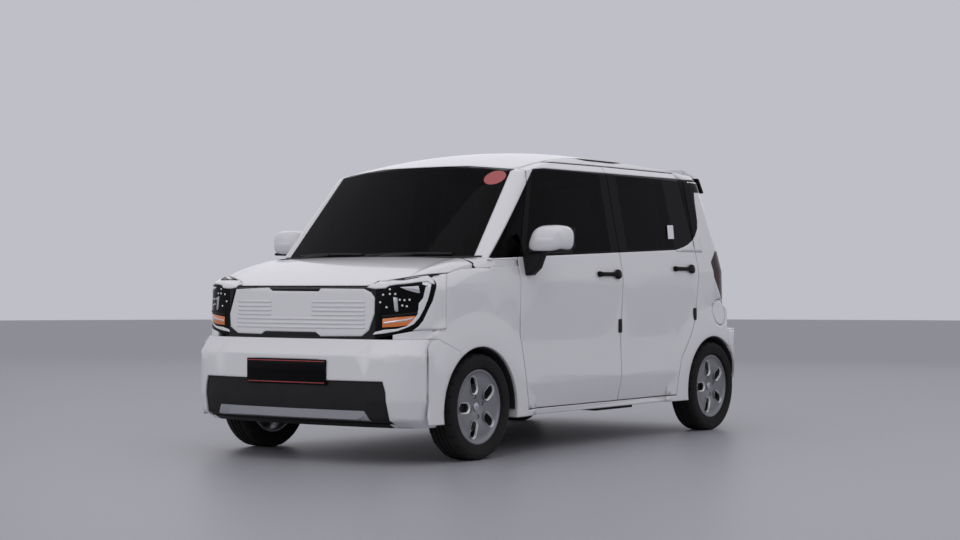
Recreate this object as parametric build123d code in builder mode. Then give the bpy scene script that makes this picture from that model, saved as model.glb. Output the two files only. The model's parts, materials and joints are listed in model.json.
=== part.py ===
"""Boxy city car: five-door body, jointed doors, lids, steering and wheels.

Frame: +Z up, front of the car towards -Y, +X the car's left side, millimetres.
The origin is on the ground, under the middle of the car.
"""
import os
from math import asin, atan, cos, degrees, pi, radians, sin, tan

from build123d import *

os.makedirs("parts", exist_ok=True)

# ---------------------------------------------------------------- driving sizes
half_length = 1797.5          # bumper face to bumper face is twice this
front_axle_y = -1160.0
rear_axle_y = 1360.0
tyre_radius = 277.0
tyre_width = 165.0
rim_radius = 196.0
track_half = 712.0            # wheel centre plane from the car's centre line
hub_face_x = track_half + 20  # inner face of the wheel disc
ball_joint_x = 686.0          # lower end of the steering axis, from the centre line
ball_joint_z = 225.0
strut_top_x = 590.0           # upper end of the steering axis
strut_top_z = 780.0
wheel_z = tyre_radius

sill_z = 205.0                # underside of the body sides
crease_low_z = 380.0
waist_z = 600.0
shoulder_z = 955.0
belt_z = 1088.0               # window line amidships
head_z = 1562.0               # top of the side windows
roof_z = 1702.0               # highest point of the roof
cap_z = 1712.0                # the closing level above the roof skin
belt_slope = 0.038            # the window line rises to the rear
shoulder_slope = 0.030

sill_w = 750.0                # half widths at those levels
crease_low_w = 786.0
waist_w = 772.0
shoulder_w = 781.0
belt_w = 758.0
head_w = 670.0
cap_w = 548.0

nose_y = -1712.0              # upright nose above the bumper
tail_y = 1690.0               # tail at the waist

arch_radius = 330.0           # wheel opening
arch_z = 262.0                # its centre height
flare_radius = 548.0          # outer edge of the raised arch
flare_w = 797.0               # its half width
wheelhouse_x = 455.0          # inner wall of the wheel houses

wall = 60.0                   # whole thickness of the side walls and doors
panel = 24.0                  # roof, bonnet and fenders with their frames
outer_skin = 12.0             # outer step of a door, wider than its inner box
edge_step = 10.0              # how far the inner box stands back from the edge
glass = 5.0
glass_inset = 1.5             # glass lies this far below the paint
gap = 6.0                     # shut line of the moving panels
pillar = 46.0                 # depth of the door pillars behind the doors
strut_swing = 3.2             # room over the strut, whose top tips a little as the wheel steers
pin_swing = 2.8               # room under the ball joint's pin for the same reason
rib_count = 6                 # grooves of the closed grille panel
rib_low_z = 684               # lowest groove
rib_pitch = 32
rib_gap = 12
rib_half_width = 405          # reach of the lowest groove to each side
rib_field_z = 760             # the upper middle is plain above this height
rib_field_half = 240
seat_gap = 0.3                # running and resting clearance of seated pieces


# ---------------------------------------------------------------- body form
def level(height, slope=0.0):
    """Plane of one body outline, tilted so that it rises towards the rear."""
    angle = atan(slope)
    return Plane(origin=(0, 0, height), x_dir=(1, 0, 0), z_dir=(0, -sin(angle), cos(angle)))


def lower_outline(width, nose, tail, inset):
    """Outline of the car at one height, from bumper zone to belt."""
    w = width - inset
    n = nose + inset
    t = tail - inset
    corner = 705 - 0.72 * inset
    front_edge = 500 - 0.4 * inset
    rear_edge = w - 190
    for side in (1, -1):
        Spline((side * front_edge, n + 30), (side * corner, n + 108), (side * w, n + 330),
               tangents=[(side * 1, 0.13), (side * 0.02, 1)])
        Line((side * w, n + 330), (side * w, t - 215))
        Spline((side * w, t - 215), (side * rear_edge, t - 24),
               tangents=[(0, 1), (-side * 1, 0.10)])
    ThreePointArc((-front_edge, n + 30), (0, n), (front_edge, n + 30))
    ThreePointArc((-rear_edge, t - 24), (0, t), (rear_edge, t - 24))


def upper_outline(width, screen_mid, screen_edge, screen_w, tail, inset):
    """Outline of the glasshouse at one height."""
    w = width - inset
    front = screen_edge + 1.1 * inset
    middle = screen_mid + 1.1 * inset
    edge = screen_w - 0.5 * inset
    t = tail - inset
    rear_edge = w - 190
    for side in (1, -1):
        Spline((side * edge, front), (side * w, front + 110 - 0.2 * inset),
               tangents=[(side * 1, 0.30), (0, 1)])
        Line((side * w, front + 110 - 0.2 * inset), (side * w, t - 215))
        Spline((side * w, t - 215), (side * rear_edge, t - 24),
               tangents=[(0, 1), (-side * 1, 0.10)])
    ThreePointArc((-edge, front), (0, middle), (edge, front))
    ThreePointArc((-rear_edge, t - 24), (0, t), (rear_edge, t - 24))


def lower_body(inset):
    """Body below the belt, up to a level just above it for the bonnet's crown."""
    rise = 70.0
    above_w = belt_w + (head_w - belt_w) * rise / (head_z - belt_z)
    rows = [
        (sill_z, 0.0, sill_w, nose_y + 15, tail_y),
        (crease_low_z, 0.0, crease_low_w, nose_y + 5, tail_y),
        (waist_z, 0.0, waist_w, nose_y, tail_y),
        (shoulder_z, shoulder_slope, shoulder_w, nose_y + 8, tail_y - 38),
        (belt_z, belt_slope, belt_w, nose_y + 16, tail_y - 68),
        (belt_z + rise, belt_slope, above_w, nose_y + 20, tail_y - 84),
    ]
    with BuildPart() as body:
        for height, slope, width, nose, tail in rows:
            with BuildSketch(level(height, slope)):
                with BuildLine():
                    lower_outline(width, nose, tail, inset)
                make_face()
        loft(ruled=True)
    return body.part


def glasshouse(inset):
    """Body above the belt: screen, side windows, roof shoulders and tail."""
    with BuildPart() as house:
        with BuildSketch(level(belt_z, belt_slope)):
            with BuildLine():
                upper_outline(belt_w, -1125, -1038, 656, tail_y - 68, inset)
            make_face()
        with BuildSketch(level(head_z)):
            with BuildLine():
                upper_outline(head_w, -655, -588, 597, tail_y - 168, inset)
            make_face()
        with BuildSketch(level(cap_z)):
            with BuildLine():
                upper_outline(cap_w, -516, -456, 500, tail_y - 262, inset)
            make_face()
        loft(ruled=True)
    return house.part


def roof_tool(inset):
    """Everything under the crowned roof skin."""
    peak_y = 200.0
    crown = 52.0
    front_radius = 3000.0
    rear_radius = 15000.0
    tools = []
    for radius, sweep_degrees, direction in ((front_radius, 30, 1), (rear_radius, 7, -1)):
        axis_z = roof_z - radius
        with BuildPart() as tool:
            with BuildSketch(Plane.XZ.offset(-peak_y)):
                with BuildLine():
                    ThreePointArc((-800, roof_z - inset - 1.7 * crown), (0, roof_z - inset),
                                  (800, roof_z - inset - 1.7 * crown))
                    Polyline((800, roof_z - inset - 1.7 * crown), (800, 500), (-800, 500),
                             (-800, roof_z - inset - 1.7 * crown))
                make_face()
            revolve(axis=Axis((0, peak_y, axis_z), (direction, 0, 0)), revolution_arc=sweep_degrees)
        tools.append(tool.part)
    return tools


bonnet_radius = 1650.0
bonnet_peak_y = -940.0        # where the bonnet's curve would be level
bonnet_peak_z = 1079.0


def bonnet_tool(inset):
    """Everything under the bonnet's skin and the fenders' shoulders."""
    top = bonnet_peak_z - inset
    edge = 600 - 0.3 * inset
    side = 790 - 0.8 * inset
    axis_z = bonnet_peak_z - bonnet_radius
    with BuildPart() as tool:
        with BuildSketch(Plane.XZ.offset(-bonnet_peak_y)):
            with BuildLine():
                ThreePointArc((-edge, top - 12), (0, top), (edge, top - 12))
                ThreePointArc((edge, top - 12), (738 - 0.6 * inset, top - 52), (side, top - 132))
                ThreePointArc((-edge, top - 12), (-738 + 0.6 * inset, top - 52), (-side, top - 132))
                Polyline((side, top - 132), (side, -400), (-side, -400), (-side, top - 132))
            make_face()
        revolve(axis=Axis((0, bonnet_peak_y, axis_z), (1, 0, 0)), revolution_arc=40)
    return tool.part


cabin_front_y = -1036.0       # behind this plane the bonnet's curve ends


def block(x0, x1, y0, y1, z0, z1):
    """Plain box between two corners."""
    with BuildPart() as box:
        with Locations(((x0 + x1) / 2, (y0 + y1) / 2, (z0 + z1) / 2)):
            Box(x1 - x0, y1 - y0, z1 - z0)
    return box.part


def body_form(inset):
    """The whole car body as one solid, its skin moved in by inset."""
    lower = lower_body(inset)
    with BuildPart() as front:
        add(lower)
        add(block(-900, 900, -2000, cabin_front_y, 0, 1400), mode=Mode.INTERSECT)
        add(bonnet_tool(inset), mode=Mode.INTERSECT)
    with BuildPart() as rear:
        add(lower)
        with BuildSketch(level(belt_z, belt_slope)):
            Rectangle(2000, 4400)
        extrude(amount=300, mode=Mode.SUBTRACT)
        add(block(-900, 900, cabin_front_y, 2000, 0, 1400), mode=Mode.INTERSECT)
    roof = roof_tool(inset)
    with BuildPart() as house:
        add(glasshouse(inset))
        with BuildPart(mode=Mode.PRIVATE) as under:
            add(roof[0])
            add(roof[1])
        add(under.part, mode=Mode.INTERSECT)
    with BuildPart() as form:
        add(front.part)
        add(rear.part)
        add(house.part)
    return form.part



# ---------------------------------------------------------------- cutting shapes
def side_prism(points, radii=0.0, grow=0.0, sides=(1,), inner=400.0):
    """Side-view outline (y, z) run through the car's side."""
    with BuildPart() as prism:
        for side in sides:
            with BuildSketch(Plane.YZ.offset(side * inner)):
                with BuildLine():
                    if radii:
                        FilletPolyline(*points, radius=radii, close=True)
                    else:
                        Polyline(*points, close=True)
                make_face()
                if grow:
                    offset(amount=grow, kind=Kind.INTERSECTION)
            extrude(amount=side * (900 - inner))
    return prism.part


def front_prism(points, y0, y1, grow=0.0):
    """Front-view outline (x, z) run along the car from y0 to y1."""
    with BuildPart() as prism:
        with BuildSketch(Plane.XZ.offset(-y0)):
            with BuildLine():
                Polyline(*points, close=True)
            make_face()
            if grow:
                offset(amount=grow, kind=Kind.INTERSECTION)
        extrude(amount=-(y1 - y0))
    return prism.part


def both(points):
    """Close a front-view outline given for the left half only."""
    return list(points) + [(-x, z) for x, z in reversed(points)]


def wheel_space(axle_y, x0, x1, radius):
    """Cylinder about a wheel's axis, from x0 to x1."""
    with BuildPart() as space:
        with BuildSketch(Plane.YZ.offset(x0)):
            with Locations((axle_y, arch_z)):
                Circle(radius)
        extrude(amount=x1 - x0)
    return space.part


def flare(axle_y):
    """Raised arch: a shallow dome about the wheel, on the left side."""
    with BuildPart() as dome:
        with BuildSketch(Plane.XY.offset(arch_z)):
            with BuildLine():
                Polyline((640, axle_y), (640, axle_y + flare_radius), (772, axle_y + flare_radius),
                         (792, axle_y + arch_radius + 90), (flare_w, axle_y + arch_radius + 30),
                         (flare_w, axle_y), close=True)
            make_face()
        revolve(axis=Axis((0, axle_y, arch_z), (1, 0, 0)))
    return dome.part


def mirrored(shape):
    """The same piece on the other side of the car."""
    return mirror(shape, about=Plane.YZ)


def plan_limit(nose, tail, z0, z1):
    """Prism of the car's plan, which the raised arches never leave."""
    with BuildPart() as limit:
        with BuildSketch(Plane.XY.offset(z0)):
            with BuildLine():
                lower_outline(flare_w + 1, nose, tail, 0)
            make_face()
        extrude(amount=z1 - z0)
    return limit.part


bumper_top_z = 636.0
arch_limit = plan_limit(-half_length + 8, half_length - 8, 100, bumper_top_z)
arch_limit = arch_limit + plan_limit(nose_y - 6, tail_y + 4, bumper_top_z, 1000)


def body_skin(form_solid):
    """Body with its raised arches, both sides."""
    with BuildPart() as dressed:
        add(form_solid)
        for axle in (front_axle_y, rear_axle_y):
            left = flare(axle) & arch_limit
            add(left)
            add(mirrored(left))
        add(block(-900, 900, -2000, 2000, 0, sill_z), mode=Mode.SUBTRACT)
    return dressed.part


def cut_wheels(shape):
    """Open the wheel houses in a piece."""
    return shape - wheel_spaces


def belt(y):
    """Height of the window line at a place along the car."""
    return belt_z + belt_slope * y


wheel_spaces = wheel_space(front_axle_y, wheelhouse_x, 900, arch_radius)
wheel_spaces = wheel_spaces + wheel_space(rear_axle_y, wheelhouse_x, 900, arch_radius)
wheel_spaces = wheel_spaces + mirrored(wheel_spaces)

# ---------------------------------------------------------------- outlines
front_door_outline = [(-704, 244), (-770, 660), (-770, 1048), (-742, 1084), (-560, 1510), (-520, 1600),
                      (277, 1608), (283, 909), (259, 392), (256, 244)]
rear_door_outline = [(262, 244), (265, 392), (289, 909), (283, 1608), (1130, 1608), (1186, 1120),
                     (1196, 1000), (1167, 735), (1090, 610), (968, 470), (920, 330), (905, 244)]
window_band = [(-1000, belt(-1000) + 4), (1246, belt(1246) + 4), (1246, 1577), (-379, 1566), (-498, 1556)]
front_window = [(-690, belt(-690) + 16), (197, belt(197) + 16), (197, 1562), (-379, 1556), (-508, 1538)]
rear_window = [(380, belt(380) + 16), (935, belt(935) + 16), (935, 1564), (380, 1562)]
quarter_window = [(-970, belt(-970) + 14), (-780, belt(-780) + 14), (-592, 1500), (-560, 1530)]

screen_outline = both([(648, 1068), (594, 1554), (300, 1580)])
roof_half = 590.0
ditch = 10.0
roof_end_y = 1394.0
tailgate_outline = both([(566, 632), (566, 1134), (606, 1186), (556, 1600), (548, 1750)])
rear_screen_outline = both([(530, 1150), (548, 1200), (508, 1560)])
lamp_side = [(1442, 1126), (1372, 1056), (1400, 960), (1510, 822), (1850, 822), (1850, 1126)]
bonnet_half = 727.0
bonnet_front = both([(430, 908), (502, 934), (bonnet_half, 975), (bonnet_half, 1300)])
bonnet_rear_y = -1150.0
headlamp_outline = [(504, 640), (504, 925), (727, 965), (900, 978), (900, 700), (740, 688)]
grille_outline = both([(410, 662), (494, 740), (494, 800), (466, 888)])
nose_outline = both([(502, 636), (502, 930), (430, 904)])
front_bumper_side = [(-2000, 100), (-2000, 636), (-1510, 636), (-1345, 566), (-1345, 100)]
rear_bumper_side = [(1560, 100), (1560, 600), (1640, 628), (2000, 628), (2000, 100)]
insert_outline = both([(627, 210), (616, 376), (600, 428)])
skid_outline = both([(520, 225), (490, 277)])
flap_y = 1460.0
flap_z = 740.0
flap_radius = 78.0
flap_place = Plane(origin=(600, flap_y, flap_z), x_dir=(0, 1, 0), z_dir=(1, 0, 0))

# ---------------------------------------------------------------- forms used by the panels
form = body_skin(body_form(0))
form_outer = body_form(outer_skin)
form_panel = body_form(panel)
form_wall = body_form(wall)
form_pillar = body_form(wall + gap)
form_pillar_in = body_form(wall + gap + pillar)
form_pocket = body_form(wall - 14)
form_glass = body_form(glass_inset)
form_glass_in = body_form(glass_inset + glass)

wall_shell = form - form_wall
panel_shell = form - form_panel
thick_shell = cut_wheels(wall_shell)
thin_shell = cut_wheels(panel_shell)
skin_shell = form - form_outer
box_shell = form_outer - form_wall
glass_shell = form_glass - form_glass_in

door_x = roof_half + ditch + 5
front_door_space = side_prism(front_door_outline, inner=door_x)
rear_door_space = side_prism(rear_door_outline, inner=door_x)
front_door_inner = side_prism(front_door_outline, grow=-edge_step, inner=door_x)
rear_door_inner = side_prism(rear_door_outline, grow=-edge_step, inner=door_x)
door_opening = side_prism(front_door_outline, grow=gap, inner=door_x - gap)
door_opening = door_opening + side_prism(rear_door_outline, grow=gap, inner=door_x - gap)
band = side_prism(window_band)

left_half = block(0, 900, -2000, 2000, 0, 1800)


def save(piece, label):
    """Name a piece and write it."""
    piece.label = label
    export_step(piece, "parts/" + label + ".step")


def save_pair(piece, label):
    """Write a left piece and its mirror image on the right."""
    save(piece, label + "_left")
    save(mirrored(piece), label + "_right")


# ---------------------------------------------------------------- doors
def make_door(name, outer, inner, window, opening):
    with BuildPart() as door:
        add(skin_shell & outer)
        add(box_shell & inner)
        add(band, mode=Mode.SUBTRACT)
        add(wheel_space(rear_axle_y, wheelhouse_x, 900, arch_radius + gap), mode=Mode.SUBTRACT)
    save_pair(door.part, name + "_door")
    with BuildPart() as trim:
        add(box_shell & (inner & band))
        add((form_glass - form_outer) & (outer & band))
        add(side_prism(window), mode=Mode.SUBTRACT)
    save_pair(trim.part, name + "_door_trim")
    with BuildPart() as pane:
        add(glass_shell)
        add(side_prism(window), mode=Mode.INTERSECT)
    save_pair(pane.part, name + "_door_glass")


make_door("front", front_door_space, front_door_inner, front_window, None)
make_door("rear", rear_door_space, rear_door_inner, rear_window, None)

# ---------------------------------------------------------------- mirrors
with BuildPart() as door_mirror:
    with BuildSketch(Plane.XZ.offset(640)):
        with BuildLine():
            FilletPolyline((800, 1098), (1026, 1086), (1040, 1222), (840, 1236), radius=28, close=True)
        make_face()
    extrude(amount=95, taper=12)
    with BuildSketch(Plane.XZ.offset(650)):
        with BuildLine():
            Polyline((740, 968), (800, 985), (862, 1108), (862, 1150), (822, 1150), (740, 1072), close=True)
        make_face()
    extrude(amount=60)
    add(form, mode=Mode.SUBTRACT)
save_pair(door_mirror.part, "mirror")

# ---------------------------------------------------------------- fixed panels
screen_space = front_prism(screen_outline, -1300, -400)
tailgate_space = front_prism(tailgate_outline, roof_end_y + gap, 2000)
tailgate_opening = front_prism(tailgate_outline, roof_end_y, 2000, grow=gap)
tailgate_opening = tailgate_opening & block(-900, 900, roof_end_y, 2000, 0, 1900)
headlamp_space = front_prism(headlamp_outline, -1900, -1452)
headlamp_spaces = headlamp_space + mirrored(headlamp_space)
nose_space = front_prism(nose_outline, -1900, -1600)
bonnet_space = front_prism(bonnet_front, -1900, bonnet_rear_y)
bonnet_opening = front_prism(bonnet_front, -1900, bonnet_rear_y + gap, grow=gap)
front_bumper_space = side_prism(front_bumper_side) + mirrored(side_prism(front_bumper_side))
front_bumper_space = front_bumper_space + block(-500, 500, -2000, -1345, 100, 636)
rear_bumper_space = block(-900, 900, 1560, 2000, 100, 626)
lamp_space = side_prism(lamp_side) & block(572, 900, 1300, 2000, 700, 1200)
cowl_space = block(-bonnet_half, bonnet_half, bonnet_rear_y + gap, cabin_front_y, 900, 1100)
cowl_space = cowl_space + block(-690, 690, cabin_front_y, cabin_front_y + 40, 900, 1068)

with BuildPart() as roof_panel:
    add(panel_shell & block(-roof_half, roof_half, -800, roof_end_y, 1400, 1800))
    add(screen_space, mode=Mode.SUBTRACT)
    add(block(-roof_half, roof_half, -800, -620, 1400, 1554), mode=Mode.SUBTRACT)
save(roof_panel.part, "roof_panel")

with BuildPart() as side_frame:
    add(thick_shell & left_half)
    add(block(-10, roof_half, -2000, roof_end_y, 1068, 1800), mode=Mode.SUBTRACT)
    add(block(-10, 900, -2000, -600, 0, 1046), mode=Mode.SUBTRACT)
    add(block(-10, 900, -2000, cabin_front_y, 0, 1300), mode=Mode.SUBTRACT)
    add(block(-10, 690, -2000, 1560, 0, 1068), mode=Mode.SUBTRACT)
    add(screen_space, mode=Mode.SUBTRACT)
    add(door_opening, mode=Mode.SUBTRACT)
    add(band, mode=Mode.SUBTRACT)
    add(tailgate_opening, mode=Mode.SUBTRACT)
    add(rear_bumper_space, mode=Mode.SUBTRACT)
    add(lamp_space, mode=Mode.SUBTRACT)
    # roof ditch
    add(block(roof_half - 1, roof_half + ditch, -500, roof_end_y, 1500, 1800) - form_outer, mode=Mode.SUBTRACT)
    # door pillar behind the shut doors, with its foot and head
    pillar_zone = side_prism([(215, 206), (345, 206), (330, 1622), (232, 1622)], inner=500)
    add((form_pillar - form_pillar_in) & pillar_zone)
    add((form_wall - form_pillar_in) & side_prism([(-700, 206), (905, 206), (905, 236), (-700, 236)], inner=500))
with BuildPart() as flap_pocket:
    with BuildSketch(flap_place):
        Circle(flap_radius + gap)
    extrude(amount=300)
    add(form_pocket, mode=Mode.SUBTRACT)
with BuildPart() as flap_catch:
    with BuildSketch(flap_place):
        with Locations((flap_radius - 22, 0)):
            Circle(7)
    extrude(amount=300)
    add(form_outer.moved(Location((-seat_gap, 0, 0))), mode=Mode.INTERSECT)
    add(form_wall, mode=Mode.SUBTRACT)
save(side_frame.part - flap_pocket.part + flap_catch.part, "side_frame_left")
save(mirrored(side_frame.part), "side_frame_right")

with BuildPart() as fender:
    add(thin_shell & block(0, 900, -2000, -600, 0, 1300))
    with BuildSketch(level(belt_z - 43 - belt_slope * 0, belt_slope)):
        Rectangle(2400, 4400)
    extrude(amount=600, mode=Mode.SUBTRACT)
    add(door_opening, mode=Mode.SUBTRACT)
    add(front_bumper_space, mode=Mode.SUBTRACT)
    add(headlamp_space, mode=Mode.SUBTRACT)
    add(nose_space, mode=Mode.SUBTRACT)
    add(bonnet_opening, mode=Mode.SUBTRACT)
    add(block(-10, bonnet_half, -1500, -1000, 0, 1300), mode=Mode.SUBTRACT)
    add(block(-10, 600, -2000, -600, 0, 1300), mode=Mode.SUBTRACT)
save(fender.part + mirrored(fender.part), "front_fenders")

# round filler flap in the left rear quarter
with BuildPart() as fuel_flap:
    with BuildSketch(flap_place):
        Circle(flap_radius)
    extrude(amount=300)
save(skin_shell & fuel_flap.part, "fuel_flap")

with BuildPart() as bonnet:
    add(panel_shell & bonnet_space)
save(bonnet.part, "bonnet_panel")

with BuildPart() as cowl:
    add(panel_shell & cowl_space)
    add(screen_space, mode=Mode.SUBTRACT)
save(cowl.part, "cowl_panel")

with BuildPart() as windscreen:
    add(glass_shell)
    add(screen_space, mode=Mode.INTERSECT)
save(windscreen.part, "windscreen")

with BuildPart() as quarter_glass:
    add(glass_shell)
    add(band - door_opening, mode=Mode.INTERSECT)
save(quarter_glass.part + mirrored(quarter_glass.part), "quarter_glass")

# ---------------------------------------------------------------- tailgate
with BuildPart() as tailgate:
    add(wall_shell & tailgate_space)
    add(front_prism(rear_screen_outline, 1400, 2000), mode=Mode.SUBTRACT)
save(tailgate.part, "tailgate_panel")

with BuildPart() as rear_screen:
    add(glass_shell)
    add(front_prism(rear_screen_outline, 1450, 2000), mode=Mode.INTERSECT)
save(rear_screen.part, "rear_screen")

with BuildPart() as spoiler:
    with BuildSketch(Plane.YZ.offset(-530)):
        with BuildLine():
            Polyline((1440, 1652), (1590, 1618), (1590, 1606), (1470, 1590), close=True)
        make_face()
    extrude(amount=1060)
    add(form, mode=Mode.SUBTRACT)
save(spoiler.part, "rear_spoiler")

# ---------------------------------------------------------------- lamps and nose
with BuildPart() as headlamp:
    add(wall_shell & headlamp_space)
save(headlamp.part + mirrored(headlamp.part), "headlamps")

with BuildPart() as rear_lamp:
    add(wall_shell & lamp_space)
    add(tailgate_opening, mode=Mode.SUBTRACT)
save(rear_lamp.part + mirrored(rear_lamp.part), "rear_lamps")

with BuildPart() as grille_frame:
    add(panel_shell & nose_space)
    add(bonnet_opening, mode=Mode.SUBTRACT)
    add(front_prism(grille_outline, -1900, -1500), mode=Mode.SUBTRACT)
save(grille_frame.part, "grille_frame")

# grooves leave the panel's horizontal ribs standing, with a plain field at the upper middle
grooves = None
for count in range(rib_count):
    z = rib_low_z + count * rib_pitch
    reach = rib_half_width + min(z - rib_low_z, 60) * 0.45
    if z < rib_field_z:
        groove = block(-reach, reach, -1900, -1500, z, z + rib_gap)
    else:
        groove = block(rib_field_half, reach, -1900, -1500, z, z + rib_gap)
        groove = groove + block(-reach, -rib_field_half, -1900, -1500, z, z + rib_gap)
    grooves = groove if grooves is None else grooves + groove

with BuildPart() as grille_panel:
    add(panel_shell & front_prism(grille_outline, -1900, -1500))
    add(grooves & skin_shell, mode=Mode.SUBTRACT)
save(grille_panel.part, "grille_panel")


# ---------------------------------------------------------------- bumpers
def bumper_form(inset, rows):
    with BuildPart() as bumper:
        for height, width, nose, tail in rows:
            with BuildSketch(Plane.XY.offset(height)):
                with BuildLine():
                    lower_outline(width, nose, tail, inset)
                make_face()
        loft(ruled=True)
    return bumper.part


bumper_rows = [
    (188, 742, -1690, 1720),
    (232, 764, -1776, 1780),
    (330, 788, -half_length, half_length),
    (555, 790, -half_length + 6, half_length - 4),
    (645, 780, -1720, 1712),
]
bumper_wall = 30.0
bumper_outer = bumper_form(0, bumper_rows)
bumper_shell = bumper_outer - bumper_form(bumper_wall, bumper_rows)
bumper_arches = panel_shell - block(-770, 770, -2000, 2000, 0, 1000)

with BuildPart() as front_bumper:
    add(bumper_shell & front_bumper_space)
    add(bumper_arches & front_bumper_space)
    add(headlamp_spaces, mode=Mode.SUBTRACT)
    add(front_prism(insert_outline, -1900, -1500), mode=Mode.SUBTRACT)
    add(wheel_spaces, mode=Mode.SUBTRACT)
save(front_bumper.part, "front_bumper")

with BuildPart() as bumper_insert:
    add(bumper_form(8, bumper_rows) - bumper_form(bumper_wall + 8, bumper_rows))
    add(front_prism(insert_outline, -1900, -1500), mode=Mode.INTERSECT)
    add(front_prism(skid_outline, -1900, -1500), mode=Mode.SUBTRACT)
save(bumper_insert.part, "bumper_insert")

with BuildPart() as skid_bar:
    add(bumper_form(2, bumper_rows) - bumper_form(bumper_wall, bumper_rows))
    add(front_prism(skid_outline, -1900, -1500), mode=Mode.INTERSECT)
save(skid_bar.part, "skid_bar")

with BuildPart() as rear_bumper:
    add(bumper_shell & rear_bumper_space)
    add(bumper_arches & rear_bumper_space)
    add(wheel_spaces, mode=Mode.SUBTRACT)
save(rear_bumper.part.solids().sort_by(SortBy.VOLUME)[-1], "rear_bumper")

# ---------------------------------------------------------------- floor and bulkhead
with BuildPart() as floor_pan:
    add(block(-720, 720, -830, 1026, 212, 234))
    add(block(-440, 440, 1026, 1650, 440, 462))
    add(block(-440, 440, 1010, 1032, 212, 462))
    add(block(-440, 440, -850, -830, 212, 640))
    add(block(-690, 690, -850, -830, 600, 1000))
    # inner wings with the strut towers
    for side in (1, -1):
        wing = block(426, 454, -1330, -832, 440, 800)
        wing = wing + block(430, 650, -1250, -1070, strut_top_z, strut_top_z + 20)
        add(wing if side == 1 else mirrored(wing))
    add(form_pillar_in, mode=Mode.INTERSECT)
    # radiator frame under the bonnet's nose
    add(block(-480, 480, -1600, -1570, 840, 880))
    for side in (1, -1):
        add(block(side * 450 - 30, side * 450 + 30, -1600, -1570, 500, 860))
    # panel across the tail under the tailgate
    add(block(-560, 560, 1636, 1656, 441, 600))
    # wheel house walls and arches of the rear wheels
    for side in (1, -1):
        ring = wheel_space(rear_axle_y, wheelhouse_x - 15, 700, arch_radius + 14)
        ring = ring - wheel_space(rear_axle_y, wheelhouse_x, 900, arch_radius)
        ring = ring & block(0, 900, 0, 2000, 345, 900)
        add(ring if side == 1 else mirrored(ring))
        # engine bay rails up to the front bumper
        with BuildPart(mode=Mode.PRIVATE) as rail:
            add(block(side * 410 - 30, side * 410 + 30, -1640, -845, 430, 520))
        add(rail.part)
    add(block(-600, 600, -1640, -1610, 300, 560))
    add(side_frame.part, mode=Mode.SUBTRACT)
    add(mirrored(side_frame.part), mode=Mode.SUBTRACT)
save(floor_pan.part.solids().sort_by(SortBy.VOLUME)[-1], "floor_pan")

# rubber stops and door seals between the fixed body and what shuts on it
with BuildPart() as seals:
    for y0, y1 in ((222, 244), (314, 336)):
        strip = side_prism([(y0, 300), (y1, 300), (y1, 1040), (y0, 1040)], inner=500)
        add((form_wall.moved(Location((-seat_gap, 0, 0))) - form_pillar) & strip)
        add(mirrored((form_wall.moved(Location((-seat_gap, 0, 0))) - form_pillar) & strip))
    for side in (1, -1):
        # the tailgate rests on the tail panel
        add(block(side * 420 - 30, side * 420 + 30, 1641, 1655, 600, 632 - seat_gap))
        # the bonnet rests on the radiator frame
        with BuildPart(mode=Mode.PRIVATE) as stop:
            with BuildSketch(Plane.XY.offset(880)):
                with Locations((side * 400, -1585)):
                    Circle(12)
            extrude(amount=200)
            add(form_panel.moved(Location((0, 0, -seat_gap))), mode=Mode.INTERSECT)
        add(stop.part)
save(seals.part, "rubber_stops")

with BuildPart() as arch_liners:
    liner = wheel_space(front_axle_y, 640, 740, arch_radius + 8) - wheel_space(front_axle_y, 500, 900, arch_radius)
    liner = liner & block(0, 900, -2000, 0, arch_z, 900)
    liner = liner - fender.part - front_bumper.part
    add(liner)
    add(mirrored(liner))
save(arch_liners.part, "arch_liners")

# ---------------------------------------------------------------- cabin
with BuildPart() as dashboard:
    with BuildSketch(Plane.YZ.offset(-660)):
        with BuildLine():
            FilletPolyline((-830, 640), (-830, 985), (-560, 1010), (-470, 960), (-480, 760), (-640, 640),
                           radius=30, close=True)
        make_face()
    extrude(amount=1320)

with BuildPart() as steering_wheel:
    column = Plane(origin=(340, -300, 960), x_dir=(1, 0, 0), z_dir=(0, 0.87, 0.49))
    with BuildSketch(Plane.XZ):
        with Locations((180, 0)):
            Circle(15)
    revolve(axis=Axis.Z)
    Cylinder(45, 40)
    for turn in (0, 180, 270):
        with Locations(Rot(0, 0, turn) * Location((90, 0, 0))):
            Box(170, 26, 14)
    with Locations((0, 0, -110)):
        Cylinder(28, 200)
steering = steering_wheel.part.moved(column.location)
save(steering, "steering_wheel")
save(dashboard.part - steering, "dashboard")


def seat(x, width):
    """Cushion, backrest and head restraint of one front seat."""
    with BuildPart() as soft:
        with BuildSketch(Plane.YZ.offset(x - width / 2)):
            with BuildLine():
                FilletPolyline((-260, 400 + seat_gap), (-260, 540), (230, 520), (380, 1060), (480, 1050),
                               (340, 400 + seat_gap), radius=40, close=True)
            make_face()
        extrude(amount=width)
        with BuildSketch(Plane.YZ.offset(x - 120)):
            with BuildLine():
                FilletPolyline((395, 1055), (400, 1230), (480, 1240), (475, 1045), radius=25, close=True)
            make_face()
        extrude(amount=240)
    return soft.part


save_pair(seat(345, 480), "front_seat")

with BuildPart() as rear_seat:
    with BuildSketch(Plane.YZ.offset(-600)):
        with BuildLine():
            FilletPolyline((560, 400 + seat_gap), (570, 540), (980, 520), (1150, 1080), (1230, 1070), (1100, 480),
                           (1000, 400 + seat_gap), radius=38, close=True)
        make_face()
    extrude(amount=1200)
    add(block(440, 800, 1000, 1400, 200, 620), mode=Mode.SUBTRACT)
    add(block(-800, -440, 1000, 1400, 200, 620), mode=Mode.SUBTRACT)
    add(floor_pan.part, mode=Mode.SUBTRACT)
save(rear_seat.part, "rear_seat")

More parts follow.
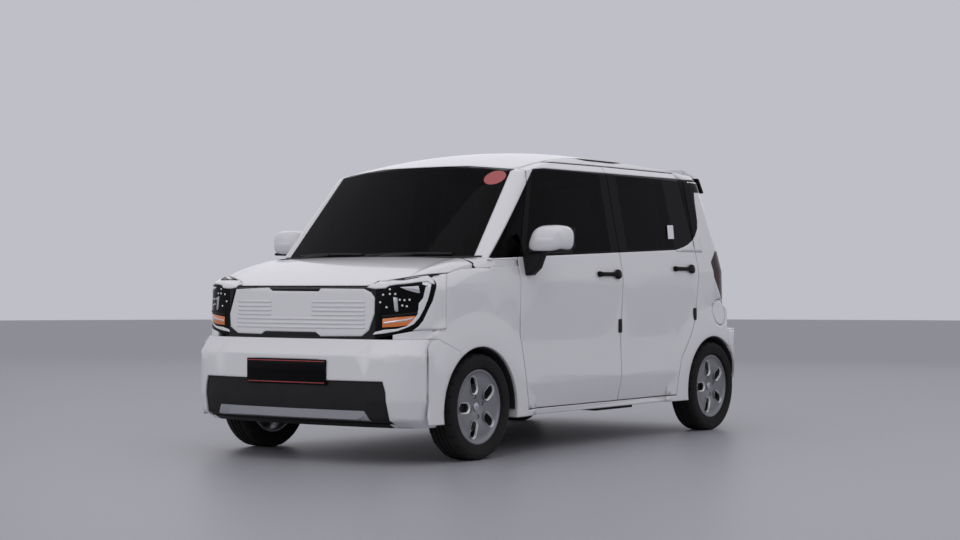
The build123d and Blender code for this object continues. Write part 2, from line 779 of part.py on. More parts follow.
with BuildPart() as seat_base:
    for x in (345, -345):
        for dx in (-190, 190):
            add(block(x + dx - 20, x + dx + 20, -230, 330, 234, 400))
    add(block(-600, 600, 600, 1000, 234, 400))
save(seat_base.part, "seat_bases")

# ---------------------------------------------------------------- underneath
with BuildPart() as engine:
    add(block(-330, 300, -1420, -960, 265, 830))
save(engine.part, "engine_block")

with BuildPart() as subframe:
    add(block(-380, 380, -1200, -1000, 215, 265))
    add(block(-440, -380, -1260, -940, 215, 430))
    add(block(380, 440, -1260, -940, 215, 430))
    # lower arms out to the ball joints
    for side in (1, -1):
        arm = block(370, ball_joint_x - 4, -1180, -1140, 200, ball_joint_z) + block(370, 420, -1200, -1100, 200, 240)
        add(arm if side == 1 else mirrored(arm))
save(subframe.part, "front_subframe")

with BuildPart() as rear_axle:
    add(block(-560, 560, 1130, 1200, 250, 330))
    for side in (1, -1):
        add(block(min(side * 540, side * 590), max(side * 540, side * 590), 1000, 1400, 240, 300))
        with BuildSketch(Plane.YZ.offset(side * 560)):
            with Locations((rear_axle_y, wheel_z)):
                Circle(24)
        extrude(amount=side * (hub_face_x - seat_gap - 560))
save(rear_axle.part, "rear_axle")

with BuildPart() as exhaust:
    with BuildSketch(Plane.XZ.offset(-1450)):
        with Locations((-200, 440 - 65)):
            RectangleRounded(360, 130, 60)
    extrude(amount=-200)
    with BuildSketch(Plane.XZ.offset(-1640)):
        with Locations((-330, 360)):
            Circle(24)
    extrude(amount=-60)
save(exhaust.part, "exhaust")

with BuildPart() as tank:
    add(block(-420, 420, 560, 990, 150, 212))
save(tank.part, "fuel_tank")


# ---------------------------------------------------------------- wheels
def wheel(name, x, y):
    side = 1 if x > 0 else -1
    plane = Plane(origin=(x, y, wheel_z), x_dir=(0, 1, 0), z_dir=(side, 0, 0))
    with BuildPart() as tyre:
        with BuildSketch(Plane.XZ):
            with BuildLine():
                Polyline((rim_radius, -60), (rim_radius + 30, -tyre_width / 2), (tyre_radius - 26, -tyre_width / 2 + 2),
                         (tyre_radius - 6, -tyre_width / 2 + 14), (tyre_radius, -tyre_width / 2 + 34),
                         (tyre_radius, tyre_width / 2 - 34), (tyre_radius - 6, tyre_width / 2 - 14),
                         (tyre_radius - 26, tyre_width / 2 - 2), (rim_radius + 30, tyre_width / 2),
                         (rim_radius, 60), close=True)
            make_face()
        revolve(axis=Axis.Z)
    save(tyre.part.moved(plane.location), "tyre_" + name)
    with BuildPart() as rim:
        with BuildSketch(Plane.XZ):
            with BuildLine():
                Polyline((0, 20), (0, 48), (60, 48), (150, 62), (rim_radius - 14, 66), (rim_radius - 0.3, 66),
                         (rim_radius - 0.3, -66), (rim_radius - 16, -66), (rim_radius - 16, 40), (60, 22), close=True)
            make_face()
        revolve(axis=Axis.Z)
        with BuildSketch(Plane.XY.offset(100)):
            with PolarLocations(118, 5):
                SlotOverall(92, 62, rotation=0)
        extrude(amount=-100, mode=Mode.SUBTRACT)
    save(rim.part.moved(plane.location), "rim_" + name)


wheel("front_left", track_half, front_axle_y)
wheel("front_right", -track_half, front_axle_y)
wheel("rear_left", track_half, rear_axle_y)
wheel("rear_right", -track_half, rear_axle_y)

with BuildPart() as knuckle:
    # upright behind the wheel with its stub axle
    add(block(596, 630, -1200, -1120, ball_joint_z + 8, 400))
    with BuildSketch(Plane.YZ.offset(620)):
        with Locations((front_axle_y, wheel_z)):
            Circle(30)
    extrude(amount=hub_face_x - seat_gap - 620)
    # pin down to the lower arm's ball joint
    with BuildSketch(Plane.XY.offset(ball_joint_z + pin_swing)):
        with Locations((ball_joint_x - 18, front_axle_y)):
            Circle(13)
    extrude(amount=50)
    # strut up to its tower
    with BuildSketch(Plane.XY.offset(340)):
        with Locations((strut_top_x, front_axle_y)):
            Circle(24)
    extrude(amount=strut_top_z - strut_swing - 340)
save_pair(knuckle.part, "knuckle")
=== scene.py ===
import json
import math

import bpy
from mathutils import Matrix, Vector
from mathutils.bvhtree import BVHTree


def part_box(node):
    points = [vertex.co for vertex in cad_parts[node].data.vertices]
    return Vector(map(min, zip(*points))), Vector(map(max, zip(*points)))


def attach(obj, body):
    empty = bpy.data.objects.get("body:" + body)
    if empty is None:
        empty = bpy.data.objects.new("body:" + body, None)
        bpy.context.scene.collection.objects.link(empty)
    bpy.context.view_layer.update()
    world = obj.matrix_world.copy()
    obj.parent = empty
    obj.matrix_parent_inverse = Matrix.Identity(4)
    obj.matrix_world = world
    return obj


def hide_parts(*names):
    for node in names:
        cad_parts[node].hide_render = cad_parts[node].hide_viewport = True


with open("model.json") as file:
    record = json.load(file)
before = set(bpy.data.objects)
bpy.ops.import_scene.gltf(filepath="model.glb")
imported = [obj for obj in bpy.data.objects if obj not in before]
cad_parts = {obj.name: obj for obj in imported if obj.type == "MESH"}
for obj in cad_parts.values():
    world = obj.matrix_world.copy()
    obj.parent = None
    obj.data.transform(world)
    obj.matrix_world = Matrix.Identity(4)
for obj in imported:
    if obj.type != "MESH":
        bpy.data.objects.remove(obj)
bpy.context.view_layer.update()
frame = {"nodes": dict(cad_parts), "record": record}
record = frame["record"]
nodeSlot = {entry["node"]: entry["material_slot"] for entry in record["subparts"]}
bodyOf = {node: body for body, nodes in record["behaviour"]["bodies"].items() for node in nodes}
print("frame loaded:", len(frame["nodes"]), "nodes")


# shader nodes
def feed(tree, node, sockets):
    # a socket gets a link from another node's output, or a plain value
    for label, value in sockets.items():
        if isinstance(value, bpy.types.NodeSocket):
            tree.links.new(value, node.inputs[label])
        else:
            node.inputs[label].default_value = value
    return node


def addNode(tree, kind, sockets=None, **settings):
    node = tree.nodes.new("ShaderNode" + kind)
    for name, value in settings.items():
        setattr(node, name, value)
    return feed(tree, node, sockets or {})


def mathNode(tree, operation, first, second):
    return addNode(tree, "Math", {0: first, 1: second}, operation=operation).outputs[0]


def colorMix(tree, factor, first, second):
    sockets = {"Factor": factor, "A": first, "B": second}
    return addNode(tree, "Mix", sockets, data_type="RGBA").outputs["Result"]


def noiseNode(tree, place, scale, detail):
    sockets = {"Vector": place, "Scale": scale, "Detail": detail}
    return addNode(tree, "TexNoise", sockets).outputs["Fac"]


def newMaterial(name):
    material = bpy.data.materials.new(name)
    material.use_nodes = True
    return material, material.node_tree, material.node_tree.nodes["Principled BSDF"]


# camera, floor and lights
studio = {
    "cameraPlace": (6.4177, -9.0545, 0.9074), "cameraAim": (-0.5808, 0.8140, 0.0086),
    "lens": 69.8, "sensor": 36, "farEnd": 200,
    "floorRadius": 40.0, "floorSides": 96, "floorColor": (0.40, 0.40, 0.435, 1),
    "floorRough": 0.42, "cloudScale": 0.35, "cloudDetail": 4, "cloudShade": 0.95,
    "skyColor": (0.95, 0.94, 1.0, 1), "skyLight": 0.46, "backColor": (0.52, 0.52, 0.57, 1),
}
softboxes = {   # place, aim, size and power
    "keyBox": ((2.0, -3.0, 6.5), (0, 0, 0.6), (11.0, 9.0), 120),
    "sideBox": ((7.5, 1.0, 3.4), (0, 0, 0.8), (8.0, 5.0), 34),
    "noseBox": ((-3.0, -8.0, 3.6), (0, -1.0, 0.7), (8.0, 5.0), 62),
    "backBox": ((-4.0, 7.5, 6.0), (0, 0, 0.8), (14.0, 8.0), 110),
}


def turnTo(item, direction):
    item.rotation_euler = Vector(direction).to_track_quat("-Z", "Y").to_euler()


def addCamera(spec):
    bpy.ops.object.camera_add(location=spec["cameraPlace"])
    camera = bpy.context.object
    camera.name = "studioCamera"
    turnTo(camera, spec["cameraAim"])
    camera.data.lens = spec["lens"]
    camera.data.sensor_width = spec["sensor"]
    camera.data.clip_end = spec["farEnd"]
    bpy.context.scene.camera = camera


def addSoftbox(name, place, aim, size, power):
    bpy.ops.object.light_add(type="AREA", location=place)
    lamp = bpy.context.object
    lamp.name = name
    lamp.data.shape = "RECTANGLE"
    lamp.data.size, lamp.data.size_y = size
    lamp.data.energy = power
    turnTo(lamp, Vector(aim) - Vector(place))


def addFloor(spec):
    bpy.ops.mesh.primitive_circle_add(vertices=spec["floorSides"], radius=spec["floorRadius"],
                                      fill_type="NGON")
    floor = bpy.context.object
    floor.name = "studioFloor"
    material, tree, shader = newMaterial("floorPaint")
    place = addNode(tree, "TexCoord").outputs["Object"]
    cloud = noiseNode(tree, place, spec["cloudScale"], spec["cloudDetail"])
    shade = [part * spec["cloudShade"] for part in spec["floorColor"][:3]] + [1]
    feed(tree, shader, {"Roughness": spec["floorRough"],
                        "Base Color": colorMix(tree, cloud, spec["floorColor"], shade)})
    floor.data.materials.append(material)


def addSky(spec):
    # what is seen directly, through glass or in a mirror is the backdrop; the rest is sky light
    world = bpy.data.worlds.new("studioSky")
    bpy.context.scene.world = world
    world.use_nodes = True
    tree = world.node_tree
    tree.nodes.clear()
    rays = addNode(tree, "LightPath").outputs
    seen = mathNode(tree, "MAXIMUM", rays["Is Camera Ray"], rays["Is Transmission Ray"])
    seen = mathNode(tree, "MAXIMUM", seen, rays["Is Glossy Ray"])
    sky = addNode(tree, "Background", {"Color": spec["skyColor"], "Strength": spec["skyLight"]})
    back = addNode(tree, "Background", {"Color": spec["backColor"]})
    blend = addNode(tree, "MixShader", {0: seen, 1: sky.outputs[0], 2: back.outputs[0]})
    addNode(tree, "OutputWorld", {"Surface": blend.outputs[0]})


bpy.context.scene.view_settings.view_transform = "Standard"
addCamera(studio)
addFloor(studio)
addSky(studio)
for boxName, boxSpec in softboxes.items():
    addSoftbox(boxName, *boxSpec)
print("studio ready")

# shared surface effects
midGrey = (0.5, 0.5, 0.5, 1)   # stands in until a material gives its own colour
grainShape = {"fineDetail": 3, "broadScale": 6, "broadDetail": 5, "strength": 3.0, "shade": 0.6,
              "spanLow": 0.3, "spanHigh": 0.7}
dustShape = {"color": (0.30, 0.27, 0.24, 1), "scale": 9, "detail": 6}
weaveShape = {"distortion": 0.6, "detail": 1}


def newGroup(name, inputs, outputs):
    group = bpy.data.node_groups.new(name, "ShaderNodeTree")
    for label, value in inputs.items():
        kind = "NodeSocketColor" if isinstance(value, tuple) else "NodeSocketFloat"
        socket = group.interface.new_socket(label, in_out="INPUT", socket_type=kind)
        socket.default_value = value
    for label in outputs:
        kind = "NodeSocketColor" if label == "Color" else "NodeSocketFloat"
        group.interface.new_socket(label, in_out="OUTPUT", socket_type=kind)
    return group, group.nodes.new("NodeGroupInput").outputs, group.nodes.new("NodeGroupOutput")


def makeGrain(shape):
    # fine noise: a tone spread for the colour, a roughness and a height
    group, given, out = newGroup(
        "surfaceGrain", {"Color": midGrey, "Scale": 200.0, "Spread": 0.1, "Rough Low": 0.4,
                         "Rough High": 0.6}, ("Color", "Roughness", "Height"))
    place = addNode(group, "TexCoord").outputs["Object"]
    fine = noiseNode(group, place, given["Scale"], shape["fineDetail"])
    broad = noiseNode(group, place, shape["broadScale"], shape["broadDetail"])
    amount = mathNode(group, "MULTIPLY", fine, broad)
    amount = mathNode(group, "MULTIPLY", amount, given["Spread"])
    amount = mathNode(group, "MULTIPLY", amount, shape["strength"])
    darker = addNode(group, "HueSaturation", {"Value": shape["shade"], "Color": given["Color"]})
    span = addNode(group, "MapRange", {
        "Value": broad, "From Min": shape["spanLow"], "From Max": shape["spanHigh"],
        "To Min": given["Rough Low"], "To Max": given["Rough High"]})
    feed(group, out, {"Color": colorMix(group, amount, given["Color"], darker.outputs["Color"]),
                      "Roughness": span.outputs["Result"], "Height": fine})
    return group


def makeDust(shape):
    # road dust, in clouds that thin out towards the height named Top
    group, given, out = newGroup("roadDust", {"Color": midGrey, "Dust": shape["color"],
                                              "Amount": 0.2, "Top": 0.5}, ("Color",))
    place = addNode(group, "TexCoord").outputs["Object"]
    height = addNode(group, "SeparateXYZ", {"Vector": place}).outputs["Z"]
    cloud = noiseNode(group, place, shape["scale"], shape["detail"])
    low = addNode(group, "MapRange", {"Value": height, "From Min": 0.0, "From Max": given["Top"],
                                      "To Min": 1.0, "To Max": 0.0}).outputs["Result"]
    mask = mathNode(group, "MULTIPLY", low, cloud)
    mask = mathNode(group, "MULTIPLY", mask, given["Amount"])
    feed(group, out, {"Color": colorMix(group, mask, given["Color"], given["Dust"])})
    return group


def makeWeave(shape):
    # crossed threads for cloth
    group, given, out = newGroup("clothWeave", {"Color": midGrey, "Thread": midGrey,
                                                "Pitch": 900.0}, ("Color", "Height"))
    place = addNode(group, "TexCoord").outputs["Object"]
    waves = [addNode(group, "TexWave", {
        "Vector": place, "Scale": given["Pitch"], "Distortion": shape["distortion"],
        "Detail": shape["detail"]}, bands_direction=way).outputs["Fac"] for way in "XYZ"]
    height = mathNode(group, "MAXIMUM", waves[0], waves[1])
    height = mathNode(group, "MULTIPLY", height, waves[2])
    feed(group, out, {"Color": colorMix(group, height, given["Color"], given["Thread"]),
                      "Height": height})
    return group


grainGroup = makeGrain(grainShape)
dustGroup = makeDust(dustShape)
weaveGroup = makeWeave(weaveShape)

# finishes
plainLook = {"grain": 300.0, "spread": 0.1, "dust": 0.0, "dustTop": 0.7, "bumpDepth": 0.0005,
             "edgeSamples": 8, "sockets": {}}
clear = {"Transmission Weight": 1.0}
glossy = {"Coat Weight": 1.0, "Coat Roughness": 0.03}
finishes = {
    "bodyWhite": {"color": (0.84, 0.84, 0.865, 1), "rough": (0.28, 0.30), "spread": 0.008,
                  "grain": 900.0, "dust": 0.03, "dustTop": 0.40, "roundEdge": 0.012,
                  "sockets": {"Coat Weight": 0.9, "Coat Roughness": 0.04}},
    "shutBlack": {"color": (0.02, 0.02, 0.022, 1), "rough": (0.7, 0.8), "grain": 400.0},
    "moulded": {"color": (0.012, 0.012, 0.013, 1), "rough": (0.5, 0.62), "grain": 700.0,
                "spread": 0.2, "dust": 0.05, "bump": 0.25,
                "sockets": {"Specular IOR Level": 0.25}},
    "pianoBlack": {"color": (0.005, 0.005, 0.006, 1), "rough": (0.06, 0.12),
                   "sockets": {"Specular IOR Level": 0.06}},
    "sideGlass": {"color": (0.035, 0.036, 0.04, 1), "rough": (0.0, 0.02), "spread": 0.02,
                  "sockets": {**clear, "IOR": 1.12}},
    "screenGlass": {"color": (0.045, 0.046, 0.052, 1), "rough": (0.0, 0.02), "spread": 0.02,
                    "sockets": {**clear, "IOR": 1.15}},
    "lensRed": {"color": (0.42, 0.012, 0.015, 1), "rough": (0.05, 0.1), "spread": 0.05,
                "sockets": glossy},
    "lensSmoke": {"color": (0.030, 0.005, 0.006, 1), "rough": (0.05, 0.1), "spread": 0.05,
                  "sockets": {**glossy, "Specular IOR Level": 0.2, "Coat Weight": 0.1}},
    "lensAmber": {"color": (0.85, 0.22, 0.03, 1), "rough": (0.1, 0.2), "spread": 0.05,
                  "sockets": glossy},
    "lightGuide": {"color": (0.88, 0.89, 0.92, 1), "rough": (0.15, 0.2), "spread": 0.02,
                   "sockets": {"Coat Weight": 0.5}},
    "mirrorBright": {"color": (0.83, 0.84, 0.86, 1), "rough": (0.05, 0.09), "spread": 0.04,
                     "sockets": {"Metallic": 1.0}},
    "machinedEdge": {"color": (0.82, 0.83, 0.85, 1), "rough": (0.20, 0.28), "grain": 900.0,
                     "spread": 0.03, "sockets": {"Metallic": 0.35}},
    "satinSilver": {"color": (0.56, 0.57, 0.60, 1), "rough": (0.28, 0.36), "grain": 800.0,
                    "spread": 0.06, "dust": 0.08, "bump": 0.08, "sockets": {"Metallic": 0.85}},
    "wheelAlloy": {"color": (0.25, 0.255, 0.275, 1), "rough": (0.32, 0.42), "grain": 900.0,
                   "dust": 0.10, "bump": 0.08,
                   "sockets": {"Metallic": 0.6, "Coat Weight": 0.25, "Coat Roughness": 0.2}},
    "tyre": {"color": (0.010, 0.010, 0.011, 1), "rough": (0.78, 0.92), "grain": 500.0,
             "spread": 0.35, "dust": 0.06, "bump": 0.35,
             "sockets": {"Specular IOR Level": 0.25}},
    "underPaint": {"color": (0.03, 0.03, 0.032, 1), "rough": (0.6, 0.8), "grain": 120.0,
                   "spread": 0.3, "dust": 0.15, "bump": 0.3},
    "castGrey": {"color": (0.36, 0.36, 0.37, 1), "rough": (0.5, 0.65), "grain": 350.0,
                 "spread": 0.35, "dust": 0.2, "bump": 0.5, "sockets": {"Metallic": 0.7}},
    "bareSteel": {"color": (0.34, 0.33, 0.32, 1), "rough": (0.35, 0.5), "grain": 250.0,
                  "spread": 0.3, "dust": 0.15, "bump": 0.15, "sockets": {"Metallic": 0.9}},
    "cabinGrey": {"color": (0.10, 0.10, 0.105, 1), "rough": (0.55, 0.7), "grain": 600.0,
                  "spread": 0.15, "bump": 0.3},
    "cabinPale": {"color": (0.42, 0.42, 0.43, 1), "rough": (0.6, 0.7), "grain": 600.0,
                  "spread": 0.12, "bump": 0.25},
}
cloths = {
    "seatCloth": {"Color": (0.030, 0.030, 0.034, 1), "Thread": (0.075, 0.075, 0.085, 1),
                  "Pitch": 260.0},
    "seatInsert": {"Color": (0.075, 0.078, 0.085, 1), "Thread": (0.15, 0.155, 0.165, 1),
                   "Pitch": 180.0},
}
clothFeel = {"Roughness": 0.85, "Sheen Weight": 0.3, "Specular IOR Level": 0.25}
clothBump = {"Strength": 0.4, "Distance": 0.0006}


def makeFinish(name, given):
    # the hard finishes: grain, dust, rounded edges or bump, and the plain socket values
    look = {**plainLook, **given}
    material, tree, shader = newMaterial(name)
    grain = addNode(tree, "Group", {
        "Color": look["color"], "Scale": look["grain"], "Spread": look["spread"],
        "Rough Low": look["rough"][0], "Rough High": look["rough"][1]},
        node_tree=grainGroup).outputs
    dust = addNode(tree, "Group", {"Color": grain["Color"], "Amount": look["dust"],
                                   "Top": look["dustTop"]}, node_tree=dustGroup).outputs
    feed(tree, shader, {"Base Color": dust["Color"], "Roughness": grain["Roughness"],
                        **look["sockets"]})
    if "roundEdge" in look:
        rounded = addNode(tree, "Bevel", {"Radius": look["roundEdge"]},
                          samples=look["edgeSamples"]).outputs["Normal"]
        feed(tree, shader, {"Normal": rounded, "Coat Normal": rounded})
    if "bump" in look:
        bump = addNode(tree, "Bump", {"Strength": look["bump"], "Distance": look["bumpDepth"],
                                      "Height": grain["Height"]})
        feed(tree, shader, {"Normal": bump.outputs["Normal"]})
    return material


def makeCloth(name, look):
    material, tree, shader = newMaterial(name)
    weave = addNode(tree, "Group", look, node_tree=weaveGroup).outputs
    bump = addNode(tree, "Bump", {**clothBump, "Height": weave["Height"]})
    feed(tree, shader, {**clothFeel, "Base Color": weave["Color"],
                        "Normal": bump.outputs["Normal"]})
    return material


finish = {name: makeFinish(name, look) for name, look in finishes.items()}
finish.update({name: makeCloth(name, look) for name, look in cloths.items()})
print("materials ready:", len(finish))

# CAD nodes get clean copies with their finish
slotFinish = {
    "body_paint": "bodyWhite", "dark_trim": "moulded", "gloss_black": "pianoBlack",
    "glass": "sideGlass", "lamp_red": "lensRed", "bright_trim": "satinSilver",
    "alloy": "wheelAlloy", "tyre_rubber": "tyre", "seat_fabric": "seatCloth",
    "chassis_paint": "underPaint", "cast_metal": "castGrey", "steel": "bareSteel",
}
nodeFinish = {"windscreen": "screenGlass", "rear_lamps": "lensSmoke", "rear_spoiler": "bodyWhite"}
nodeFinish.update({node: "pianoBlack" for node in frame["nodes"] if "_door_trim_" in node})
madeElsewhere = ("tyre_", "rim_", "mirror_", "front_seat_", "rear_seat")   # have their own pieces
edges = {"weld": 0.00002, "spunWeld": 0.00005, "skinAngle": 32, "wheelAngle": 35, "shellAngle": 50,
         "bevelAngle": 38, "segments": 2, "roundSegments": 3, "lastStrip": 0.4}
bandShapes = {   # dark bands low on the bumpers
    "rear_bumper": {"low": 0.252, "high": 0.408, "half": 0.56, "facing": (0, 1, 0)},
    "front_bumper": {"low": 0.0, "high": 0.258, "half": 0.60, "facing": None},
}
bandLean = 0.3   # faces that turn further than this from the band's facing stay white


def selectOnly(piece):
    bpy.ops.object.select_all(action="DESELECT")
    piece.select_set(True)
    bpy.context.view_layer.objects.active = piece


def editAll(piece):
    selectOnly(piece)
    bpy.ops.object.mode_set(mode="EDIT")
    bpy.ops.mesh.select_all(action="SELECT")


def leaveEdit():
    bpy.ops.object.mode_set(mode="OBJECT")


def flipFaces(piece):
    editAll(piece)
    bpy.ops.mesh.flip_normals()
    leaveEdit()


def pointOutwards():
    bpy.ops.mesh.select_all(action="SELECT")
    bpy.ops.mesh.normals_make_consistent(inside=False)
    leaveEdit()


def settle(piece, name, body, slotName, finishName, *replaced):
    # place goes into the mesh, then the piece gets its body and finish
    selectOnly(piece)
    bpy.ops.object.transform_apply(location=True, rotation=True, scale=True)
    piece.name = name
    piece.data.name = name
    if finishName:
        piece.data.materials.clear()
        piece.data.materials.append(finish[finishName])
    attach(piece, body)
    if replaced:
        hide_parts(*replaced)
    return piece


def copyNode(node, name):
    source = frame["nodes"][node]
    piece = source.copy()
    piece.data = source.data.copy()
    bpy.context.collection.objects.link(piece)
    piece.parent = None
    piece.matrix_world = Matrix.Identity(4)
    piece.hide_render = piece.hide_viewport = False
    for key in list(piece.keys()):
        del piece[key]
    piece.name = name
    editAll(piece)
    bpy.ops.mesh.remove_doubles(threshold=edges["weld"])
    leaveEdit()
    return piece


def applyModifiers(piece):
    selectOnly(piece)
    for modifier in list(piece.modifiers):
        bpy.ops.object.modifier_apply(modifier=modifier.name)


def softenEdges(piece, width, segments=edges["segments"]):
    bevel = piece.modifiers.new("softEdges", "BEVEL")
    bevel.width = width
    bevel.segments = segments
    bevel.limit_method = "ANGLE"
    bevel.angle_limit = math.radians(edges["bevelAngle"])
    bevel.use_clamp_overlap = True
    bevel.miter_outer = "MITER_ARC"
    applyModifiers(piece)


def smoothByAngle(piece, degrees=40):
    selectOnly(piece)
    bpy.ops.object.shade_smooth_by_angle(angle=math.radians(degrees))


def dressNode(node):
    piece = copyNode(node, node + "_skin")
    smoothByAngle(piece, edges["skinAngle"])
    even = piece.modifiers.new("evenNormals", "WEIGHTED_NORMAL")
    even.mode = "FACE_AREA_WITH_ANGLE"
    even.keep_sharp = True
    applyModifiers(piece)
    finishName = nodeFinish.get(node, slotFinish[nodeSlot[node]])
    return settle(piece, node + "_skin", bodyOf[node], nodeSlot[node], finishName, node)


def paintBand(piece, low, high, half, facing):
    # the band is cut into the copy's faces and given its own finish
    editAll(piece)
    for place, normal in (((0, 0, low), (0, 0, 1)), ((0, 0, high), (0, 0, 1)),
                          ((-half, 0, 0), (1, 0, 0)), ((half, 0, 0), (1, 0, 0))):
        bpy.ops.mesh.select_all(action="SELECT")
        bpy.ops.mesh.bisect(plane_co=place, plane_no=normal)
    leaveEdit()
    piece.data.materials.append(finish["moulded"])
    for face in piece.data.polygons:
        inside = low < face.center.z < high and abs(face.center.x) < half
        if inside and (not facing or face.normal.dot(Vector(facing)) > bandLean):
            face.material_index = 1


dressed = {}
for nodeName in sorted(frame["nodes"]):
    if not nodeName.startswith(madeElsewhere):
        dressed[nodeName] = dressNode(nodeName)
for nodeName, shape in bandShapes.items():
    paintBand(dressed[nodeName], **shape)
print("dressed nodes:", len(dressed))

# ways of making new pieces; the facings are level directions out of the car
facings = {"front": (0, -1), "back": (0, 1), "left": (1, 0), "corner": (0.5808, -0.8140)}
up = Vector((0, 0, 1))
plainSheet = {"facing": "front", "step": 25, "lift": 1.0, "bridge": 0, "wall": 3.0, "edge": 0.8,
              "body": "root"}


def treeOf(meshes):
    # one search tree over several meshes
    points, faces = [], []
    for mesh in meshes:
        start = len(points)
        points += [vertex.co.copy() for vertex in mesh.vertices]
        faces += [[start + index for index in face.vertices] for face in mesh.polygons]
    return BVHTree.FromPolygons(points, faces)


def skinTree(*names):
    return treeOf([dressed[name].data for name in names])


def patchTree(shape):
    # a curved patch that a sheet can be laid on where the skin has an opening
    points = [Vector((out, place, height)) / 1000 for place, row in shape["rows"].items()
              for out, height in zip(row, shape["heights"])]
    wide = len(shape["heights"])
    faces = [[start, start + 1, start + wide + 1, start + wide]
             for start in range(len(points) - wide) if start % wide != wide - 1]
    return BVHTree.FromPolygons(points, faces)


def addPolygon(points, fill="NGON"):
    bpy.ops.object.select_all(action="DESELECT")
    bpy.ops.mesh.primitive_circle_add(vertices=len(points), radius=1, fill_type=fill)
    polygon = bpy.context.object
    for vertex, point in zip(polygon.data.vertices, points):
        vertex.co = point
    return polygon


def outlineSheet(points, facing, step, away=3.0):
    # a flat outline, in mm, stands outside the car and is cut into a grid
    out = Vector((*facings[facing], 0))
    across = up.cross(out)
    sheet = addPolygon([out * away + across * side / 1000 + up * (height / 1000)
                        for side, height in points])
    editAll(sheet)
    for direction, values in zip((across, up), zip(*points)):
        place = min(values) + step
        while place < max(values) - step * edges["lastStrip"]:   # no strip is narrower
            bpy.ops.mesh.select_all(action="SELECT")
            bpy.ops.mesh.bisect(plane_co=direction * place / 1000, plane_no=direction)
            place += step
    leaveEdit()
    return sheet, out


def layOnSkin(sheet, out, tree, lift, bridge):
    # every point runs inwards until it meets the skin, and stands off it by lift, in mm;
    # grooves and gaps narrower than twice the bridge are crossed without a dip
    reach = 0.0
    missed = []
    feelers = [Vector()]
    if bridge:
        feelers += [way * bridge / 1000 for way in (up, -up, up.cross(out), -up.cross(out))]
    for vertex in sheet.data.vertices:
        hits = [tree.ray_cast(vertex.co + feeler, -out)[0] for feeler in feelers]
        depths = [hit.dot(out) for hit in hits if hit is not None]
        if depths:
            reach = max(depths)
            vertex.co += out * (reach + lift / 1000 - vertex.co.dot(out))
        else:
            missed.append(vertex)
    for vertex in missed:
        near = tree.find_nearest(vertex.co - out * (vertex.co.dot(out) - reach))[0]
        vertex.co += out * (near.dot(out) + lift / 1000 - vertex.co.dot(out))
    sheet.data.update()
    if sum(face.normal.dot(out) * face.area for face in sheet.data.polygons) < 0:
        flipFaces(sheet)


def giveWall(sheet, wall, edge):
    # thickness goes inwards from the laid face, then the edges are rounded
    solid = sheet.modifiers.new("wall", "SOLIDIFY")
    solid.thickness = wall / 1000
    solid.offset = -1
    solid.use_even_offset = False
    applyModifiers(sheet)
    if edge:
        softenEdges(sheet, edge / 1000)
    smoothByAngle(sheet)


def mirrorPiece(piece, body, slotName):
    # the same piece on the other side, on that side's body
    name = piece.name.replace("left", "right")
    twin = bpy.data.objects.new(name, piece.data.copy())
    bpy.context.collection.objects.link(twin)
    for vertex in twin.data.vertices:
        vertex.co.x = -vertex.co.x
    flipFaces(twin)
    return settle(twin, name, body.replace("left", "right"), slotName, None)


def skinPiece(name, tree, given, bothSides=False):
    spec = {**plainSheet, **given}
    sheet, out = outlineSheet(spec["outline"], spec["facing"], spec["step"])
    layOnSkin(sheet, out, tree, spec["lift"], spec["bridge"])
    giveWall(sheet, spec["wall"], spec["edge"])
    settle(sheet, name + "_left" * bothSides, spec["body"], spec["slot"], spec["finish"])
    if bothSides:
        mirrorPiece(sheet, spec["body"], spec["slot"])
    return sheet


def addSlab(name, low, high, edge):
    # a block with softened edges between two corners
    bpy.ops.object.select_all(action="DESELECT")
    bpy.ops.mesh.primitive_cube_add(size=1)
    slab = bpy.context.object
    for vertex in slab.data.vertices:
        vertex.co = [low[k] if vertex.co[k] < 0 else high[k] for k in range(3)]
    if edge:
        softenEdges(slab, edge, edges["roundSegments"])
        smoothByAngle(slab)
    slab.name = name
    return slab


def addPrism(name, points, facing, near, far, edge):
    # an outline carried from one distance to another along the direction it faces, in mm
    sheet, out = outlineSheet(points, facing, 1000, far / 1000)
    editAll(sheet)
    bpy.ops.mesh.extrude_region_move(
        TRANSFORM_OT_translate={"value": tuple(out * (near - far) / 1000)})
    pointOutwards()
    softenEdges(sheet, edge / 1000, edges["roundSegments"])
    smoothByAngle(sheet)
    sheet.name = name
    return sheet


def band(path, width):
    # outline of an even strip along a path
    path = [Vector(point) for point in path]
    upper, lower = [], []
    for index, point in enumerate(path):
        along = (path[min(index + 1, len(path) - 1)] - path[max(index - 1, 0)]).normalized()
        normal = Vector((-along.y, along.x)) * width / 2
        upper.append(tuple(point + normal))
        lower.append(tuple(point - normal))
    return upper + lower[::-1]


def oval(center, halfAcross, halfUp, count=20, power=2.0):
    # the higher the power, the squarer the oval
    points = []
    for index in range(count):
        turn = 2 * math.pi * index / count
        c, s = math.cos(turn), math.sin(turn)
        points.append((center[0] + halfAcross * math.copysign(abs(c) ** (2 / power), c),
                       center[1] + halfUp * math.copysign(abs(s) ** (2 / power), s)))
    return points


def spunPiece(name, shape):
    # a closed profile, (out, radius) in mm, spun round the wheel's axis
    piece = addPolygon([(out / 1000, 0, radius / 1000) for out, radius in shape["profile"]],
                       "NOTHING")
    editAll(piece)
    bpy.ops.mesh.spin(steps=shape["steps"], angle=2 * math.pi, center=(0, 0, 0), axis=(1, 0, 0))
    bpy.ops.mesh.select_all(action="SELECT")
    bpy.ops.mesh.remove_doubles(threshold=edges["spunWeld"])
    pointOutwards()
    piece.name = name
    return piece


